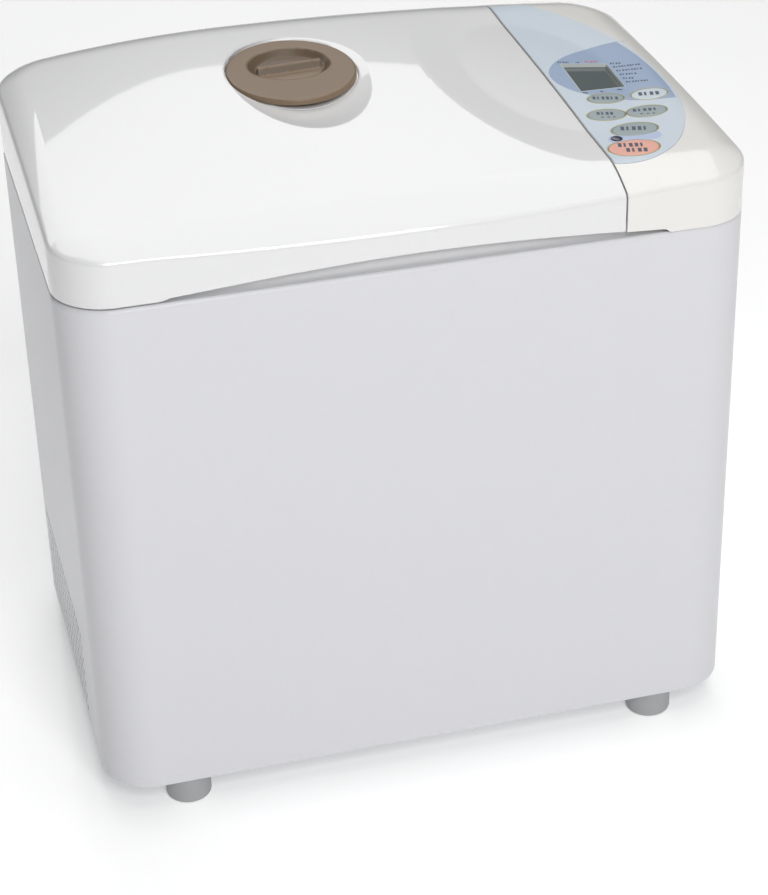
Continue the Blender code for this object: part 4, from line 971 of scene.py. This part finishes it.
def pan_shell(look):
    """The bread pan with its rolled rim, pressed ribs and the ears that carry the bail."""
    wall = PAN_WALL
    rings = [disc(OVEN_X, 0, 9.2, PAN_FLOOR, 16)]
    rings += [pan_ring(d, PAN_FLOOR + h) for d, h in quarter_turn(PAN_FOOT, 8)]
    rim = [(0, 3.4), (-1.2, 3.2), (-2.5, 2.4), (-3, 1.4), (-2.6, 0.5), (-1.6, 0.05), (-0.2, 0)]
    rim += [(0.9, 0.4), (1.5, 1.2), (wall, 2.2)]
    rings += [pan_ring(d, PAN_TOP - h) for d, h in rim]
    for z in (228.0, 214.0, 200.0):
        rings += [pan_ring(d, height) for d, height in bead(wall, z, 0.8, 2.4)]
    for d, h in reversed(quarter_turn(PAN_FOOT, 8)):
        rings.append(pan_ring(wall + d * 0.95, PAN_FLOOR + wall + h * 0.92))
    rings.append(disc(OVEN_X, 0, 9.2, PAN_FLOOR + wall, 16))
    shell = piece("pan_shell", loft(rings, closed=True), look, "pan", ["bread_pan"])
    ears = bmesh.new()
    eyes = bmesh.new()
    outline = tongue(8, 248, 259.6, 12)
    for side in (-1, 1):
        loft([[(OVEN_X + side * x, y, z) for y, z in outline] for x in (93.8, 95.6)], bm=ears)
        start, end = sorted((OVEN_X + side * 94.9, OVEN_X + side * 104))
        rod_x(start, end, 0, BAIL_Z, 2.9, 2.9, eyes, 24)
    cut(shell, ears, operation="UNION")
    cut(shell, eyes)


def tongue(r, z, top, count):
    """The (y, z) outline of an ear: round below, straight up to its root."""
    angles = [math.pi * i / count for i in range(count + 1)]
    return [(r * math.cos(a), z - r * math.sin(a)) for a in angles] + [(-r, top), (r, top)]


def wire(path, r):
    """A round wire along a path of points."""
    path = [Vector(p) for p in path]
    angles = [math.pi * k / 10 for k in range(20)]
    rings = []
    normal = None
    for i, point in enumerate(path):
        along = (path[min(i + 1, len(path) - 1)] - path[max(i - 1, 0)]).normalized()
        normal = normal or along.orthogonal().normalized()
        normal = (normal - along * normal.dot(along)).normalized()
        across = along.cross(normal)
        rings.append([point + (normal * math.cos(a) + across * math.sin(a)) * r for a in angles])
    return loft(rings)


def pan_bail(look):
    """The pan's wire handle, from one ear round to the other."""
    r = 8.0
    path = [(-95.8, 0), (-101, 0), (-102.4, -0.4), (-BAIL_X, -1.2), (-BAIL_X, -3)]
    for i in range(9):
        a = math.radians(180 + 90 * i / 8)
        path.append((-BAIL_X + r + r * math.cos(a), -BAIL_REACH + r + r * math.sin(a)))
    path += [(-x, y) for x, y in reversed(path)]
    moved = [(OVEN_X + x, y, BAIL_Z) for x, y in path]
    piece("pan_bail", wire(moved, BAIL_R), look, "pan_handle", ["pan_handle"])


def teardrop(length, r, tip, z):
    """The kneading blade's plan: a round hub with a fin towards +X."""
    lean = math.asin((r - tip) / length)
    points = []
    for i in range(25):
        a = math.pi / 2 - lean + (math.pi + 2 * lean) * i / 24
        points.append((OVEN_X + r * math.cos(a), r * math.sin(a), z))
    for i in range(13):
        a = -math.pi / 2 + lean + (math.pi - 2 * lean) * i / 12
        points.append((OVEN_X + length + tip * math.cos(a), tip * math.sin(a), z))
    return points


def blade(look):
    rings = [teardrop(45.2, 8.4, 2.4, 96.2), teardrop(46, 9, 3, 97), teardrop(46, 9, 3, 106)]
    for i in range(1, 13):
        t = i / 12
        length = 12 + 33 * math.sqrt(1 - t * t)
        rings.append(teardrop(length, 9 - 0.8 * t ** 8, 2.8 + 4.4 * t ** 8, 106 + 20 * t))
    body = piece("blade_body", loft(rings), look, "pan_spindle", ["kneading_blade"])
    cut(body, loft([disc(OVEN_X, 0, 4.4, z, 16) for z in (80, 119)]))


def lid_plate(look):
    """The lid's inner plate, its middle pressed down, with steam slots, the dispenser opening and the flap's
    lugs.
    """
    def panel_ring(inset, z):
        return ring(OVEN_X, 0, 218 - 2 * inset, 178 - 2 * inset, 24 - inset, z)

    def plate_ring(inset, z):
        return ring(-34, -4, 268 - 2 * inset, 214 - 2 * inset, 24 - inset, z)

    rings = [plate_ring(0, PLATE_HIGH), plate_ring(0, PLATE_LOW + 0.6), plate_ring(0.6, PLATE_LOW)]
    for inset, drop in ((0, 0), (0.5, 0.2), (1.5, 1.1), (2.2, PLATE_PRESSED)):
        rings.append(panel_ring(inset, PLATE_LOW - drop))
    plate = piece("lid_plate", loft(rings), look, "lid", ["lid_inner_plate"])
    holes = loft([oval(COVER_X, COVER_Y, HOLE_A + 0.6, HOLE_B + 0.6, z) for z in (300, 320)])
    for i in range(5):
        loft([ring(-130 + 12 * i, -55, 5, 30, 2.4, z, 6) for z in (300, 320)], bm=holes)
    cut(plate, holes)
    lugs = bmesh.new()
    outline = tongue(3, FLAP_PIVOT_Z, 308, 10)
    for x in (COVER_X - 12.6, COVER_X + 9):
        loft([[(x + w, FLAP_PIVOT_Y + y, z) for y, z in outline] for w in (0, 3.6)], bm=lugs)
    cut(plate, lugs, operation="UNION")
    bore = bmesh.new()
    rod_x(COVER_X - 20, COVER_X + 20, FLAP_PIVOT_Y, FLAP_PIVOT_Z, 1.3, 1.3, bore, 16)
    cut(plate, bore)


def plate_screws(look):
    """Four slotted screws that hold the lid's inner plate."""
    low = PLATE_LOW - PLATE_PRESSED
    profile = [(0.4, -1.5), (1.6, -1.4), (2.7, -1.0), (3.3, -0.4), (3.4, 0.2)]
    for row, y in enumerate((-78, 78)):
        for column, x in enumerate((OVEN_X - 96, OVEN_X + 96)):
            dome = loft([disc(x, y, r, low + z) for r, z in profile])
            head = piece(f"plate_screw_{row}{column}", dome, look, "lid")
            cut(head, box(x - 4, x + 4, y - 0.45, y + 0.45, low - 2, low - 0.8))


def gasket(look):
    """The seal round the oven, with a rounded lip."""
    lip = 305.6
    profile = [(0, lip), (0, lip + 1.4), (6, lip + 1.4), (6, lip)]
    angles = [math.pi * i / 8 for i in range(1, 8)]
    profile += [(3 + 3 * math.cos(a), lip - math.sin(a)) for a in angles]
    rings = [ring(OVEN_X, 0, 244 - 2 * d, 204 - 2 * d, 34 - d, z) for d, z in profile]
    piece("gasket_lip", loft(rings, closed=True), look, "lid", ["lid_gasket"])


# --- Stage, in metres ---
FLOOR_GLOW = 0.30
CEILING = 2.2


def floor():
    """A white sweep that shines back a little light."""
    look = Look("floor_paint", Specular_IOR_Level=0.4, Roughness=0.12,
                Emission_Color=(1.0, 1.0, 1.0, 1.0), Emission_Strength=FLOOR_GLOW)
    look.ramp(look.noise(3, 3), [(0.3, (0.90, 0.90, 0.90)), (0.7, (0.92, 0.92, 0.92))])
    bm = bmesh.new()
    bmesh.ops.create_grid(bm, x_segments=1, y_segments=1, size=6.0)
    mesh = bpy.data.meshes.new("floor")
    bm.to_mesh(mesh)
    bm.free()
    mesh.materials.append(look.material)
    item = add("floor", mesh)
    item.location.z = -0.0004


def area_light(name, place, target, size, power):
    data = bpy.data.lights.new(name, "AREA")
    data.shape = "RECTANGLE"
    data.size, data.size_y = size
    data.energy = power
    lamp = add(name, data)
    lamp.location = place
    lamp.rotation_euler = (Vector(target) - Vector(place)).to_track_quat("-Z", "Y").to_euler()
    return lamp


def ceiling_light(name, x, y, size, power):
    return area_light(name, (x, y, CEILING), (x, y, 0.0), size, power)


def light():
    """Soft boxes overhead and in front, and a strip that only reflections show."""
    scene = bpy.context.scene
    scene.world = bpy.data.worlds.new("studio")
    scene.world.use_nodes = True
    background = scene.world.node_tree.nodes["Background"]
    background.inputs["Color"].default_value = (0.95, 0.97, 1.0, 1.0)
    background.inputs["Strength"].default_value = 0.07
    ceiling_light("overhead", 0.425, 1.125, (1.55, 4.65), 39)
    ceiling_light("rear left", -1.37, 2.95, (2.04, 1.9), 23)
    strip = ceiling_light("left strip", -0.725, 1.35, (0.75, 1.3), 5.3)
    strip.visible_diffuse = False
    area_light("front", (0.05, -2.3, 1.95), (0, 0, 0.2), (1.3, 1.4), 45.5)
    scene.view_settings.view_transform = "Standard"
    scene.view_settings.look = "None"


def camera():
    data = bpy.data.cameras.new("camera")
    data.sensor_width = 36.0
    data.lens = 92.452
    data.shift_x = 0.0196
    data.shift_y = -0.0016
    item = add("camera", data)
    item.location = (-0.27259, -1.10931, 0.80433)
    item.rotation_euler = [math.radians(a) for a in (59.6457, 1.6420, -14.7418)]
    bpy.context.scene.camera = item


# --- Everything together ---
def paint(names, look):
    for name in names:
        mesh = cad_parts[name].data
        mesh.materials.clear()
        mesh.materials.append(look)


def main():
    camera()
    light()
    floor()
    gloss = plastic("lid_plastic", (0.83, 0.83, 0.83), 0.32, coat=1.0, coat_ior=1.45)
    warm = plastic("housing_plastic", (0.85, 0.838, 0.80), 0.30, coat=0.6, coat_ior=1.6)
    lid_shell(gloss)
    control_housing(warm)
    case_shell(enamel("case_enamel", (0.735, 0.735, 0.76), 0.28))
    feet(rubber("foot_rubber", (0.38, 0.39, 0.395)))
    frame_shell(plastic("frame_plastic", (0.68, 0.68, 0.69), 0.4))
    # the second, darker smoked plastic is painted shade for the wall and rear floor of the cover's finger
    # dish
    dispenser_cover(smoky("smoked_plastic"), smoky("smoked_plastic_painted_shade", 0.62))
    looks = {
        "label": plastic("label_film_blue", (0.61, 0.68, 0.75), 0.32),
        "field": plastic("label_field_blue", (0.335, 0.425, 0.575), 0.32),
        "pill": plastic("label_pill_blue", (0.48, 0.56, 0.74), 0.32),
        "ink": plastic("dark_ink", (0.075, 0.095, 0.14), 0.45),
        "red": plastic("red_ink", (0.62, 0.13, 0.16), 0.4),
        "frame": plastic("display_frame_pale", (0.56, 0.60, 0.58), 0.4),
        "key": plastic("key_green", (0.33, 0.39, 0.40), 0.4),
        "menu": plastic("key_pale", (0.58, 0.65, 0.70), 0.4),
        "start": plastic("key_pink", (0.80, 0.42, 0.33), 0.4),
        "gold": plastic("outline_gold", (0.46, 0.43, 0.24), 0.45),
        "lcd": plastic("lcd_face", (0.115, 0.135, 0.135), 0.15, coat=0.3),
        "lamp": plastic("lamp_lens", (0.05, 0.05, 0.08), 0.2, coat=0.5),
    }
    buttons(looks)
    panel(looks)
    steel = metal("bright_steel", (0.60, 0.60, 0.61), 0.28, (1, 1, 14))
    zinc = metal("zinc_sheet", (0.48, 0.49, 0.51), 0.4)
    cast = metal("cast_aluminium", (0.62, 0.62, 0.63), 0.42)
    dark = nonstick("nonstick_coating")
    black = plastic("black_plastic", (0.02, 0.02, 0.02), 0.45)
    black_rubber = rubber("black_rubber", (0.025, 0.025, 0.025))
    brackets = ["hinge_arm_left", "hinge_arm_right", "hinge_bracket_left", "hinge_bracket_right"]
    paint(["base_plate", "drive_chassis", "motor_stator", "transformer"] + brackets, zinc)
    pins = ["hinge_pin_left", "hinge_pin_right", "cover_hinge_pin", "flap_pin", "solenoid_plunger"]
    shafts = ["pan_shaft", "drive_shaft", "motor_shaft", "temperature_sensor"]
    paint(pins + shafts, steel)
    aluminium = metal("lid_aluminium", (0.66, 0.66, 0.67), 0.35, (14, 1, 1))
    paint(["dispenser_flap", "dispenser_cup"], aluminium)
    oven_liner(metal("oven_sheet", (0.74, 0.74, 0.74), 0.5, (1, 1, 6)))
    pan_shell(dark)
    pan_bail(steel)
    blade(dark)
    lid_plate(aluminium)
    plate_screws(steel)
    gasket(rubber("grey_silicone", (0.40, 0.40, 0.39)))
    paint(["pan_base", "pan_coupling", "drive_coupling", "bearing_housing", "motor_capacitor"], cast)
    paint(["bushing_upper", "bushing_lower"], metal("sintered_bronze", (0.50, 0.33, 0.16), 0.45))
    paint(["heater_element"], metal("heater_sheath", (0.20, 0.20, 0.205), 0.5))
    paint(["solenoid_coil"], metal("copper_winding", (0.55, 0.25, 0.12), 0.4, (60, 1, 1)))
    paint(["drive_pulley", "motor_pulley", "lcd_module", "cord_gland"], black)
    paint(["drive_belt", "pan_seal"], black_rubber)
    paint(["control_board", "power_board"], board("circuit_board"))


main()
